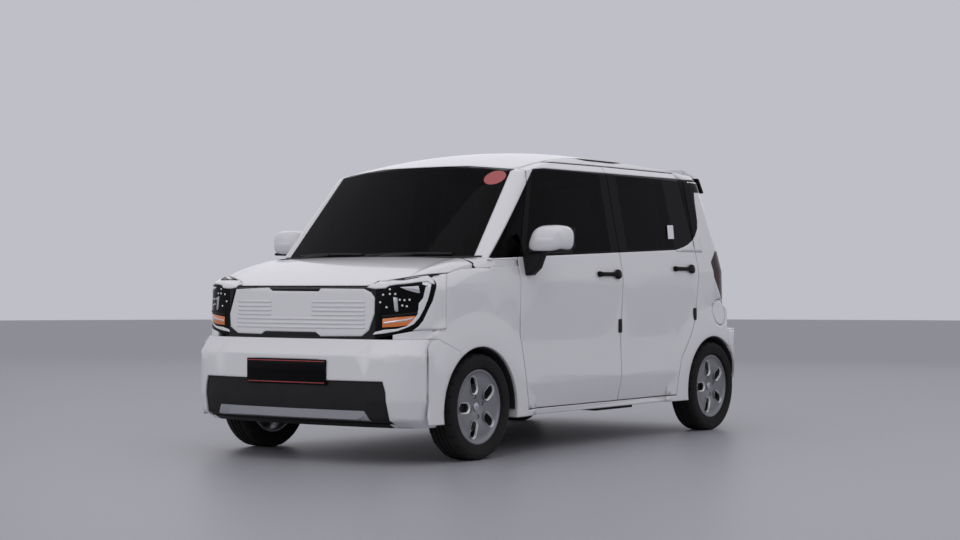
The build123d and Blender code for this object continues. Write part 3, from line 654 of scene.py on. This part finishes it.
def cutWith(piece, cutters):
    for cutter in cutters:
        cut = piece.modifiers.new("cut", "BOOLEAN")
        cut.operation = "DIFFERENCE"
        cut.solver = "EXACT"
        cut.object = cutter
        applyModifiers(piece)
        bpy.data.objects.remove(cutter, do_unlink=True)


# headlamps
lampPlain = {"facing": "corner", "wall": 4, "edge": 1.0, "slot": "gloss_black"}
lampPieces = {
    "lamp_guide": {
        "lift": 1.5, "edge": 1.2, "step": 22, "finish": "lightGuide", "outline": [
            (-326, 930), (-298, 934), (-280, 921), (-285, 889), (-297, 842), (-315, 796),
            (-339, 750), (-369, 715), (-405, 697), (-453, 680), (-519, 668), (-579, 661),
            (-567, 674), (-519, 686), (-453, 691), (-405, 705), (-375, 732), (-352, 761),
            (-345, 790), (-344, 819), (-321, 848), (-312, 889), (-306, 910), (-326, 916)]},
    "lamp_amber": {
        "wall": 5, "edge": 1.5, "finish": "lensAmber", "outline": [
            (-528, 742), (-450, 750), (-361, 757), (-356, 738), (-402, 709), (-460, 702),
            (-530, 698)]},
    "lamp_amber_rib": {
        "lift": 3.0, "finish": "mirrorBright", "outline": [
            (-522, 716), (-400, 732), (-372, 742), (-372, 748), (-410, 741), (-524, 724)]},
    "lamp_reflector": {
        "finish": "mirrorBright", "outline": [
            (-440, 902), (-345, 908), (-337, 872), (-352, 873), (-372, 878), (-405, 887)]},
    "lamp_fin": {
        "lift": 2.0, "wall": 6, "edge": 1.5, "finish": "satinSilver", "outline": [
            (-474, 852), (-452, 848), (-447, 780), (-458, 776), (-467, 784), (-470, 815)]},
    "lamp_shelf": {
        "lift": 3.0, "wall": 8, "edge": 2.0, "finish": "moulded", "outline": [
            (-530, 760), (-450, 765), (-350, 776), (-345, 768), (-450, 756), (-532, 750)]},
}
lampDots = {
    "radius": 5.5, "sides": 10, "lift": 2.5, "step": 30,
    "places": [(-526, 863), (-491, 891), (-491, 867), (-463, 867), (-541, 825), (-427, 809),
               (-404, 805), (-508, 800), (-440, 838), (-416, 836), (-390, 838)],
}
browPlain = {"facing": "corner", "bridge": 8, "slot": "body_paint", "finish": "bodyWhite"}
browPieces = {
    "lamp_side_cover": {
        "lift": 1.2, "wall": 4, "step": 18, "outline": [
            (-204, 688), (-204, 972), (-240, 968), (-262, 962), (-282, 950), (-262, 932),
            (-254, 915), (-256, 895), (-273, 831), (-297, 784), (-321, 732), (-345, 703),
            (-375, 682), (-330, 684), (-260, 686)]},
    "brow": {
        "lift": 2.5, "wall": 6, "edge": 2.0, "step": 16, "outline": [
            (-609, 902), (-591, 918), (-549, 935), (-483, 940), (-417, 938), (-357, 948),
            (-303, 962), (-275, 946), (-262, 918), (-280, 921), (-296, 934), (-345, 930),
            (-393, 924), (-453, 919), (-495, 912), (-513, 899), (-567, 896)]},
}
noseTree = skinTree("headlamps", "grille_frame", "grille_panel", "front_bumper", "bonnet_panel",
                    "front_fenders", "bumper_insert", "skid_bar")
lampTree = skinTree("headlamps")
for name, spec in lampPieces.items():
    skinPiece(name, lampTree, {**lampPlain, **spec}, True)
for index, spot in enumerate(lampDots["places"]):
    outline = oval(spot, lampDots["radius"], lampDots["radius"], lampDots["sides"])
    skinPiece("lamp_dot_%d" % index, lampTree, {
        **lampPlain, "outline": outline, "lift": lampDots["lift"], "step": lampDots["step"],
        "slot": "bright_trim", "finish": "lightGuide"}, True)
for name, spec in browPieces.items():
    skinPiece(name, noseTree, {**browPlain, **spec}, True)
print("headlamps ready")

# nose: notches, ribbed face and plate
notchPlain = {"step": 30, "lift": 1.2, "wall": 4, "slot": "dark_trim", "finish": "moulded"}
notches = {
    "grille_notch_top": [(-205, 900), (162, 900), (140, 879), (-175, 879)],
    "grille_notch_low": [(-252, 650), (165, 650), (131, 670), (-220, 670)],
}
grille = {
    "outline": [(-449, 891), (-496, 757), (-488, 689), (-428, 656), (-249, 654), (-220, 670),
                (131, 667), (162, 648), (423, 652), (465, 681), (497, 766), (498, 847),
                (475, 875), (432, 893), (161, 895), (146, 880), (-173, 882), (-203, 899)],
    "fullRibs": (694, 716, 738), "sideRibs": (760, 782, 804, 826),
    "rib": (7, 28, 6),   # half height, sides and power
    "full": (-440, 445), "sides": ((-430, -176), (101, 443)),
}
grillePlain = {"bridge": 16, "wall": 6, "slot": "body_paint", "finish": "bodyWhite"}
plate = {"half": 0.270, "low": 0.402, "high": 0.532, "face": -1.7948, "set": 0.0008,
         "depth": 0.010, "edge": 0.004, "play": 0.001, "pocketFront": -1.83,
         "pocketBack": -1.7855}
plateLine = {"inset": 0.010, "side": 0.008, "half": 0.0022, "depth": 0.004, "edge": 0.0006}


def cutPocket(piece, shape):
    half = shape["half"] + shape["play"]
    low = (-half, shape["pocketFront"], shape["low"] - shape["play"])
    high = (half, shape["pocketBack"], shape["high"] + shape["play"])
    cutWith(piece, [addSlab("pocket", low, high, 0)])


for name, outline in notches.items():
    skinPiece(name, noseTree, {**notchPlain, "outline": outline})
grilleTree = skinTree("grille_panel", "grille_frame")
face = skinPiece("grille_face", grilleTree, {
    **grillePlain, "outline": grille["outline"], "lift": 0.5, "edge": 2.5, "step": 16})
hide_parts("grille_panel")
ribs = [(height, grille["full"]) for height in grille["fullRibs"]]
ribs += [(height, ends) for height in grille["sideRibs"] for ends in grille["sides"]]
for index, (height, (near, far)) in enumerate(ribs):
    outline = oval(((near + far) / 2, height), (far - near) / 2, *grille["rib"])
    skinPiece("grille_rib_%d" % index, grilleTree, {
        **grillePlain, "outline": outline, "lift": 3.6, "edge": 3.4, "step": 40})
bpy.data.objects.remove(dressed.pop("grille_panel"), do_unlink=True)   # the new face stands for it
cutPocket(dressed["front_bumper"], plate)
cutPocket(dressed["bumper_insert"], plate)
settle(addSlab("plate", (-plate["half"], plate["face"] + plate["set"], plate["low"]),
               (plate["half"], plate["face"] + plate["depth"], plate["high"]), plate["edge"]),
       "plate_front", "root", "dark_trim", "pianoBlack")
lineEnd = plate["half"] - plateLine["side"]
for index, height in enumerate((plate["low"] + plateLine["inset"],
                                plate["high"] - plateLine["inset"])):
    low = (-lineEnd, plate["face"], height - plateLine["half"])
    high = (lineEnd, plate["face"] + plateLine["depth"], height + plateLine["half"])
    settle(addSlab("line", low, high, plateLine["edge"]),
           "plate_line_%d" % index, "root", "lamp_red", "lensRed")
print("nose ready")

# doors: handles and edge pads
doorPlain = {"facing": "left", "slot": "dark_trim", "step": 40, "finish": "moulded"}
handle = {
    "outline": [(-124, 12), (-112, 17), (-92, 15), (-70, 12), (40, 12), (62, 16), (76, 26),
                (96, 29), (116, 24), (126, 10), (126, -10), (116, -24), (96, -29), (76, -26),
                (62, -16), (40, -12), (-70, -12), (-92, -15), (-112, -17), (-124, -12)],
    "places": {"front": (127, 977), "rear": (1005, 1014)},
    "feet": {"a": -104, "b": 98}, "foot": (15, 13, 14),   # half sizes and sides
}
pads = {   # place, half sizes, sides and power
    "front": ((262, 675), 18, 40, 24, 6), "rear": ((1152, 733), 18, 38, 24, 6)}
for door, (middle, height) in handle["places"].items():
    doorTree = skinTree(door + "_door_left")
    doorSpec = {**doorPlain, "body": door + "_door_left"}
    outline = [(middle + a, height + b) for a, b in handle["outline"]]
    skinPiece(door + "_handle", doorTree, {
        **doorSpec, "outline": outline, "lift": 17, "wall": 13, "edge": 5, "step": 60,
        "finish": "pianoBlack"}, True)
    for end, offset in handle["feet"].items():
        outline = oval((middle + offset, height), *handle["foot"])
        skinPiece(door + "_handle_foot_" + end, doorTree, {
            **doorSpec, "outline": outline, "lift": 8, "wall": 12, "edge": 2}, True)
    skinPiece(door + "_edge_pad", doorTree, {
        **doorSpec, "outline": oval(*pads[door]), "lift": 7, "wall": 9, "edge": 3}, True)
print("door handles ready")

# wheels
rimShape = {
    "profile": [(30, 24), (46, 24), (51, 60), (57, 105), (60, 150), (57, 174), (61, 182),
                (66, 188), (66, 195.5), (52, 195.6), (-62, 195.6), (-66, 192), (-66, 182),
                (-40, 176), (26, 172), (44, 166), (48, 150), (46, 105), (38, 60), (30, 40)],
    "steps": 80, "slots": (180, 108, 36, -36, -108), "slotRadius": 121, "slotSize": (92, 51),
    "slotCut": (20, 70), "edge": 0.0022, "chamfer": (11, 3), "chamferFace": 61.0,
    "chamferDepth": 7, "chamferWall": 0.0012, "bolts": (16, 106, 196, 286), "boltRadius": 54,
    "hole": (11, 16, 41, 40), "head": (8, 6, 40, 8),   # radius, sides, start and length
    "headEdge": 0.0012,
}
tyreShape = {
    "profile": [(62, 276), (48, 277), (31, 277), (30, 271), (22, 271), (21, 277), (5, 277),
                (4, 271), (-4, 271), (-5, 277), (-21, 277), (-22, 271), (-30, 271), (-31, 277),
                (-48, 277), (-62, 276), (-74, 268), (-80, 254), (-82.3, 234), (-81, 216),
                (-75, 205), (-66, 198.5), (-60, 196.4), (60, 196.4), (66, 198.5), (75, 205),
                (78, 207), (78.4, 210), (81, 216), (82.3, 234), (81.2, 245), (82.2, 247),
                (81, 251), (80, 254), (74, 268)],
    "steps": 96, "sipeEvery": 4, "shoulder": (0.048, 0.070), "sipeRadius": 0.268,
    "sipeInset": 0.0025, "sipeDepth": -0.0045,
}
capShape = {"profile": [(40, 3), (52, 3), (52.5, 17), (50, 22.5), (46, 23.4), (40, 23.4)],
            "steps": 32}
drumShape = {"profile": [(-2, 40), (10, 40), (10, 118), (12, 122), (-2, 122)], "steps": 48}


def turned(points, angle):
    c, s = math.cos(math.radians(angle)), math.sin(math.radians(angle))
    return [(x * c - y * s, x * s + y * c) for x, y in points]


def capsule(center, angle, length, width, count=20):
    # outline of a slot with round ends, pointing outwards along the angle
    straight = (length - width) / 2
    points = []
    for index in range(count):
        turn = 2 * math.pi * (index + 0.5) / count
        x = math.cos(turn) * width / 2 + math.copysign(straight, math.cos(turn))
        points.append((center + x, math.sin(turn) * width / 2))
    return turned(points, angle)


def outlineInWheel(points, place, fill="NGON"):
    # outline in the wheel's plane, in mm: first number towards the tail, second upwards
    return addPolygon([(place / 1000, back / 1000, rise / 1000) for back, rise in points], fill)


def pullOut(points, place, distance):
    piece = outlineInWheel(points, place)
    editAll(piece)
    bpy.ops.mesh.extrude_region_move(TRANSFORM_OT_translate={"value": (distance / 1000, 0, 0)})
    pointOutwards()
    return piece


def boltPiece(shape, angle, radius, sides, start, length):
    spot = turned([(shape["boltRadius"], 0)], angle)[0]
    return pullOut(oval(spot, radius, radius, sides), start, length)


def makeRim(shape):
    rim = spunPiece("rimDisc", shape)
    cutWith(rim, [pullOut(capsule(shape["slotRadius"], angle, *shape["slotSize"]),
                          *shape["slotCut"]) for angle in shape["slots"]])
    cutWith(rim, [boltPiece(shape, angle, *shape["hole"]) for angle in shape["bolts"]])
    softenEdges(rim, shape["edge"])
    return rim


def makeSlotEdge(shape, angle):
    # a bright chamfer round a slot: the outline is pulled in as it goes deeper
    (length, width), (grow, shrink) = shape["slotSize"], shape["chamfer"]
    outline = capsule(shape["slotRadius"], angle, length + grow, width + grow)
    piece = outlineInWheel(outline, shape["chamferFace"], "NOTHING")
    editAll(piece)
    bpy.ops.mesh.extrude_edges_move(
        TRANSFORM_OT_translate={"value": (-shape["chamferDepth"] / 1000, 0, 0)})
    leaveEdit()
    along, across = [Vector((0, *point)) for point in turned([(1, 0), (0, 1)], angle)]
    middle = along * shape["slotRadius"] / 1000
    deep = (shape["chamferFace"] - shape["chamferDepth"] / 2) / 1000
    for vertex in piece.data.vertices:
        if vertex.co.x < deep:
            off = vertex.co - middle
            vertex.co = (Vector((vertex.co.x, 0, 0)) + middle
                         + along * off.dot(along) * (length - shrink) / (length + grow)
                         + across * off.dot(across) * (width - shrink) / (width + grow))
    wall = piece.modifiers.new("wall", "SOLIDIFY")
    wall.thickness = shape["chamferWall"]
    wall.offset = 0
    applyModifiers(piece)
    editAll(piece)
    pointOutwards()
    return piece


def makeBolt(shape, angle):
    bolt = boltPiece(shape, angle, *shape["head"])
    softenEdges(bolt, shape["headEdge"])
    return bolt


def makeTyre(shape):
    # a spun ring with small cuts pressed into both shoulders of the tread
    tyre = spunPiece("tyreRing", shape)
    near, far = shape["shoulder"]
    editAll(tyre)
    bpy.ops.mesh.select_all(action="DESELECT")
    bpy.ops.mesh.select_mode(type="FACE")
    leaveEdit()
    for face in tyre.data.polygons:
        x, y, z = face.center
        index = int((math.atan2(z, y) + math.pi) / (2 * math.pi / shape["steps"]))
        face.select = (near < abs(x) < far and math.hypot(y, z) > shape["sipeRadius"]
                       and index % shape["sipeEvery"] == (0 if x > 0 else 2))
    bpy.ops.object.mode_set(mode="EDIT")
    bpy.ops.mesh.inset(thickness=shape["sipeInset"], depth=shape["sipeDepth"])
    leaveEdit()
    return tyre


def placeWheelPiece(piece, name, body, middle, slotName, finishName, *replaced):
    # a piece drawn round the origin, outwards along +X, goes to one of the wheels
    copy = bpy.data.objects.new(name, piece.data.copy())
    bpy.context.collection.objects.link(copy)
    side = 1 if middle.x > 0 else -1
    for vertex in copy.data.vertices:
        vertex.co = middle + Vector((vertex.co.x * side, vertex.co.y, vertex.co.z))
    if side < 0:
        flipFaces(copy)
    smoothByAngle(copy, edges["wheelAngle"])
    settle(copy, name, body, slotName, finishName, *replaced)


wheelPieces = [   # name, model, slot, finish and the CAD node it replaces
    ("wheel_disc_%s", makeRim(rimShape), "alloy", "wheelAlloy", "rim_"),
    ("wheel_tyre_%s", makeTyre(tyreShape), "tyre_rubber", "tyre", "tyre_"),
    ("wheel_cap_%s", spunPiece("capDisc", capShape), "alloy", "satinSilver"),
    ("wheel_brake_%s", spunPiece("brakeDisc", drumShape), "cast_metal", "castGrey"),
]
for index, angle in enumerate(rimShape["slots"]):
    wheelPieces.append(("wheel_slot_%%s_%d" % index, makeSlotEdge(rimShape, angle),
                        "bright_trim", "machinedEdge"))
for index, angle in enumerate(rimShape["bolts"]):
    wheelPieces.append(("wheel_bolt_%%s_%d" % index, makeBolt(rimShape, angle),
                        "steel", "bareSteel"))
for place in ("front_left", "front_right", "rear_left", "rear_right"):
    low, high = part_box("tyre_" + place)
    for name, model, slotName, finishName, *node in wheelPieces:
        placeWheelPiece(model, name % place, "wheel_" + place, (low + high) / 2, slotName,
                        finishName, *[start + place for start in node])
for wheelPiece in wheelPieces:
    bpy.data.objects.remove(wheelPiece[1], do_unlink=True)
print("wheels ready")

# door mirrors
mirrorShape = {
    "center": (0.9055, -0.684, 1.160), "half": (0.1310, 0.080, 0.075), "slant": 0.060,
    "floor": -0.86, "back": 0.9, "power": 0.62, "rings": 24, "segments": 40,
    "foot": [(752, 962), (802, 966), (846, 1004), (884, 1092), (824, 1092), (752, 1080)],
    "footSpan": (662, 722), "footEdge": 8,
}
matt, gloss = ("dark_trim", "moulded"), ("gloss_black", "pianoBlack")
mirrorBits = {   # low corner, high corner, edge, slot and finish
    "mirror_strip": ((0.800, -0.742, 1.088), (1.020, -0.630, 1.104), 0.008, matt),
    "mirror_ring": ((0.812, -0.630, 1.106), (1.022, -0.6105, 1.221), 0.003, matt),
    "mirror_glass": ((0.821, -0.6125, 1.114), (1.013, -0.6085, 1.213), 0.0015,
                     ("glass", "mirrorBright")),
}
mirrorLamp = {"outline": oval((931, 1150), 54, 15, 24, 5), "lift": 0.6, "wall": 2, "edge": 0.5,
              "step": 18, "body": "front_door_left", "slot": "bright_trim",
              "finish": "lightGuide"}


def makeMirrorShell(shape):
    # a rounded box: flat below, flat behind, and leaning towards the door at its top
    bpy.ops.object.select_all(action="DESELECT")
    bpy.ops.mesh.primitive_uv_sphere_add(segments=shape["segments"], ring_count=shape["rings"],
                                         radius=1)
    shell = bpy.context.object
    half = shape["half"]
    for vertex in shell.data.vertices:
        x, y, z = [math.copysign(abs(value) ** shape["power"], value) for value in vertex.co]
        z = max(z, shape["floor"])
        inner = (1 - x) / 2 * (z + 1) / 2 * shape["slant"]
        vertex.co = (shape["center"][0] + x * half[0] + inner,
                     shape["center"][1] + min(y, shape["back"]) * half[1],
                     shape["center"][2] + z * half[2])
    smoothByAngle(shell, edges["shellAngle"])
    return shell


shell = makeMirrorShell(mirrorShape)
settle(shell, "mirror_shell_left", "front_door_left", "body_paint", "bodyWhite", "mirror_left")
twin = mirrorPiece(shell, "front_door_left", "body_paint")
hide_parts("mirror_right")
for name, (low, high, edge, surface) in mirrorBits.items():
    bit = addSlab(name, low, high, edge)
    settle(bit, name + "_left", "front_door_left", *surface)
    mirrorPiece(bit, "front_door_left", surface[0])
skinPiece("mirror_lamp", treeOf([shell.data]), mirrorLamp, True)
foot = addPrism("foot", mirrorShape["foot"], "front", *mirrorShape["footSpan"],
                mirrorShape["footEdge"])
settle(foot, "mirror_foot_left", "front_door_left", "dark_trim", "moulded")
mirrorPiece(foot, "front_door_left", "dark_trim")
print("mirrors ready")

# windscreen: plain sticker and wipers
sticker = {"outline": oval((524, 1506), 62, 40, 28), "lift": 0.8, "wall": 1.2, "edge": 0,
           "step": 20, "slot": "lamp_red", "finish": "lensRed"}
wiperPlain = {"edge": 2, "step": 40, "slot": "dark_trim", "finish": "moulded"}
wiperKinds = {"blade": {"lift": 9, "wall": 8}, "arm": {"lift": 15, "wall": 6}}
wiperPaths = {   # path and width
    "blade_a": ([(-30, 1076), (150, 1083), (330, 1085), (520, 1083)], 12),
    "blade_b": ([(-560, 1078), (-400, 1084), (-220, 1086), (-60, 1083)], 12),
    "arm_a": ([(-20, 1052), (120, 1072), (290, 1082)], 14),
    "arm_b": ([(-580, 1052), (-470, 1072), (-310, 1082)], 14),
}
skinPiece("screen_sticker", skinTree("windscreen"), sticker)
wiperTree = skinTree("windscreen", "cowl_panel")
for name, (path, width) in wiperPaths.items():
    skinPiece("wiper_" + name, wiperTree, {**wiperPlain, **wiperKinds[name.split("_")[0]],
                                           "outline": band(path, width)})
print("wipers ready")

# body side: shoulder, rear window corner, label, winglets and arch linings
shoulderShape = {   # how far out the shoulder stands, in mm: a row for each place along the car
    "heights": (1000, 1015, 1030, 1045, 1053, 1063),
    "rows": {-1150: (752, 733, 716, 685, 655, 600), -1100: (757, 745, 733, 712, 690, 640),
             -1050: (762, 753, 745, 733, 722, 700), -1005: (767, 764, 761, 758.5, 757, 750),
             -780: (767.5, 765.5, 763, 760.5, 757.5, 757)},
}
sideTree = skinTree("side_frame_left", "rear_door_left", "quarter_glass", "rear_door_trim_left",
                    "rear_door_glass_left", "cowl_panel", "front_fenders", "rear_bumper")
sidePlain = {"facing": "left", "edge": 0.6, "step": 22, "slot": "body_paint",
             "finish": "bodyWhite"}
sidePieces = {
    "shoulder": {
        "lift": 0, "wall": 4, "outline": [
            (-1143, 1002), (-1143, 1053), (-1050, 1060), (-1008, 1056), (-1002, 1051),
            (-786, 1051), (-786, 1002)]},
    "window_corner": {
        "bridge": 3, "slot": "gloss_black", "finish": "pianoBlack", "outline": [
            (1190, 1560), (1246, 1577), (1337, 1581), (1400, 1588), (1432, 1570), (1444, 1532),
            (1440, 1506), (1380, 1500), (1307, 1497), (1295, 1430), (1289, 1363), (1282, 1310),
            (1265, 1269), (1243, 1243), (1221, 1222), (1190, 1200)]},
    "corner_fill": {
        "lift": 0.8, "bridge": 4, "outline": [
            (1190, 1118), (1190, 1199), (1221, 1221), (1243, 1242), (1265, 1268), (1274, 1286),
            (1278, 1286), (1278, 1118)]},
    "door_fill": {
        "lift": 0.8, "bridge": 4, "body": "rear_door_left", "outline": [
            (952, 1118), (952, 1130), (1000, 1138), (1049, 1147), (1110, 1164), (1168, 1187),
            (1183, 1195), (1183, 1118)]},
}
label = {"outline": [(888, 1279), (959, 1281), (943, 1197), (872, 1195)], "lift": 0.8,
         "bridge": 30, "wall": 0.8, "edge": 0, "step": 30, "body": "rear_door_left",
         "finish": "lightGuide"}
winglet = {"span": (600, 650), "edge": 4, "outline": [
    (1418, 1594), (1440, 1590), (1500, 1508), (1496, 1500), (1474, 1502), (1428, 1562)]}
archShape = {"profile": [(640, 323), (782, 323), (782, 329.8), (640, 329.8)], "steps": 72,
             "middle": 0.262, "floor": 0.25, "spread": 1.04, "rim": 0.781, "inset": 0.008,
             "blind": 0.732}


def makeArchLining(shape, y, z):
    ring = spunPiece("lining", shape)
    for vertex in ring.data.vertices:
        away = vertex.co * shape["spread"]
        vertex.co += Vector((0, y, z))
        if vertex.co.x > shape["rim"]:   # the outer rim stays just inside the panel beside it
            start = Vector((2, y + away.y, z + away.z))
            panel = sideTree.ray_cast(start, Vector((-1, 0, 0)))[0]
            outer = panel.x - shape["inset"] if panel else shape["blind"]
            vertex.co.x = min(shape["profile"][1][0] / 1000, outer)
    editAll(ring)
    bpy.ops.mesh.bisect(plane_co=(0, 0, shape["floor"]), plane_no=(0, 0, 1), clear_inner=True,
                        use_fill=True)
    leaveEdit()
    smoothByAngle(ring)
    return ring


for name, spec in sidePieces.items():
    tree = patchTree(shoulderShape) if name == "shoulder" else sideTree
    skinPiece(name, tree, {**sidePlain, **spec}, True)
skinPiece("door_label", sideTree, {**sidePlain, **label})
fin = addPrism("winglet", winglet["outline"], "left", *winglet["span"], winglet["edge"])
settle(fin, "winglet_left", "tailgate", "dark_trim", "pianoBlack")
mirrorPiece(fin, "tailgate", "dark_trim")
for end in ("front", "rear"):
    low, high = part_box("tyre_%s_left" % end)
    lining = makeArchLining(archShape, ((low + high) / 2).y, archShape["middle"])
    settle(lining, "arch_lining_%s_left" % end, "root", "dark_trim", "shutBlack")
    mirrorPiece(lining, "root", "dark_trim")
print("body side ready")

# tail: plate, garnish, wiper and bumper reflectors
tailPlain = {"facing": "back", "step": 45, "body": "tailgate", "slot": "dark_trim",
             "finish": "moulded"}
tailPieces = {
    "tail_plate": {"outline": oval((0, 760), 262, 60, 28, 12), "lift": 3, "wall": 6,
                   "edge": 1.5, "finish": "pianoBlack"},
    "tail_garnish": {"outline": oval((0, 862), 300, 20, 28, 8), "lift": 14, "wall": 16,
                     "edge": 5, "slot": "body_paint", "finish": "bodyWhite"},
    "tail_wiper": {"outline": band([(10, 1196), (-150, 1200), (-330, 1214)], 16), "lift": 14,
                   "wall": 8, "edge": 2},
    "tail_wiper_foot": {"outline": oval((8, 1190), 28, 22, 20), "lift": 18, "wall": 20,
                        "edge": 4},
}
for side, place in (("a", 480), ("b", -480)):
    tailPieces["bumper_reflector_" + side] = {
        "outline": oval((place, 452), 60, 15, 20, 6), "lift": 2, "wall": 5, "edge": 1.5,
        "step": 40, "body": "root", "slot": "lamp_red", "finish": "lensRed"}
tailTree = skinTree("tailgate_panel", "rear_screen", "rear_bumper", "rear_lamps",
                    "side_frame_left", "side_frame_right")
for name, spec in tailPieces.items():
    skinPiece(name, tailTree, {**tailPlain, **spec})
print("tail ready")

# seats: padded and soft
seatShape = {"voxel": 0.016, "smoothings": 9, "strength": 0.8, "swell": 0.004, "channel": 0.16,
             "smoothAngle": 60, "frontInsert": 0.145, "rearInserts": [(0.33, 0.17), (-0.33, 0.17)]}


def makePad(node, name, inserts):
    # the solid is remeshed and smoothed, then paler cloth covers the inserts
    pad = copyNode(node, name)
    remesh = pad.modifiers.new("even", "REMESH")
    remesh.mode = "VOXEL"
    remesh.voxel_size = seatShape["voxel"]
    soft = pad.modifiers.new("soft", "SMOOTH")
    soft.iterations = seatShape["smoothings"]
    soft.factor = seatShape["strength"]
    applyModifiers(pad)
    for vertex in pad.data.vertices:
        # the cushion stays full between the sewn channels, which pull in
        wave = math.cos(vertex.co.x * 2 * math.pi / seatShape["channel"])
        crown = seatShape["swell"] * (0.5 + 0.5 * wave)
        vertex.co -= vertex.normal * (seatShape["swell"] - crown)
    pad.data.update()
    smoothByAngle(pad, seatShape["smoothAngle"])
    settle(pad, name, "root", "seat_fabric", "seatCloth", node)
    pad.data.materials.append(finish["seatInsert"])
    for face in pad.data.polygons:
        if any(abs(face.center.x - place) < half for place, half in inserts):
            face.material_index = 1


low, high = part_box("front_seat_left")
seatMiddle = (low.x + high.x) / 2
makePad("front_seat_left", "seat_pad_left", [(seatMiddle, seatShape["frontInsert"])])
makePad("front_seat_right", "seat_pad_right", [(-seatMiddle, seatShape["frontInsert"])])
makePad("rear_seat", "seat_pad_rear", seatShape["rearInserts"])
print("seats ready")

# dashboard fittings: low corner, high corner, edge, slot and finish
cabinBits = {
    "dash_screen": ((-0.13, -0.495, 0.925), (0.13, -0.468, 1.035), 0.004, gloss),
    "dash_hood": ((0.21, -0.62, 0.985), (0.53, -0.49, 1.045), 0.018, ("dark_trim", "cabinGrey")),
    "dash_dials": ((0.23, -0.492, 0.935), (0.51, -0.480, 1.020), 0.004, gloss),
    "dash_shelf": ((-0.62, -0.500, 0.868), (0.62, -0.478, 0.882), 0.004,
                   ("dark_trim", "cabinPale")),
    "dash_controls": ((-0.14, -0.492, 0.790), (0.14, -0.474, 0.862), 0.005, gloss),
    "dash_vent_a": ((0.545, -0.492, 0.935), (0.630, -0.474, 0.985), 0.005, matt),
    "dash_vent_b": ((-0.630, -0.492, 0.935), (-0.545, -0.474, 0.985), 0.005, matt),
}
for name, (low, high, edge, surface) in cabinBits.items():
    settle(addSlab(name, low, high, edge), name, "root", *surface)
print("cabin ready")
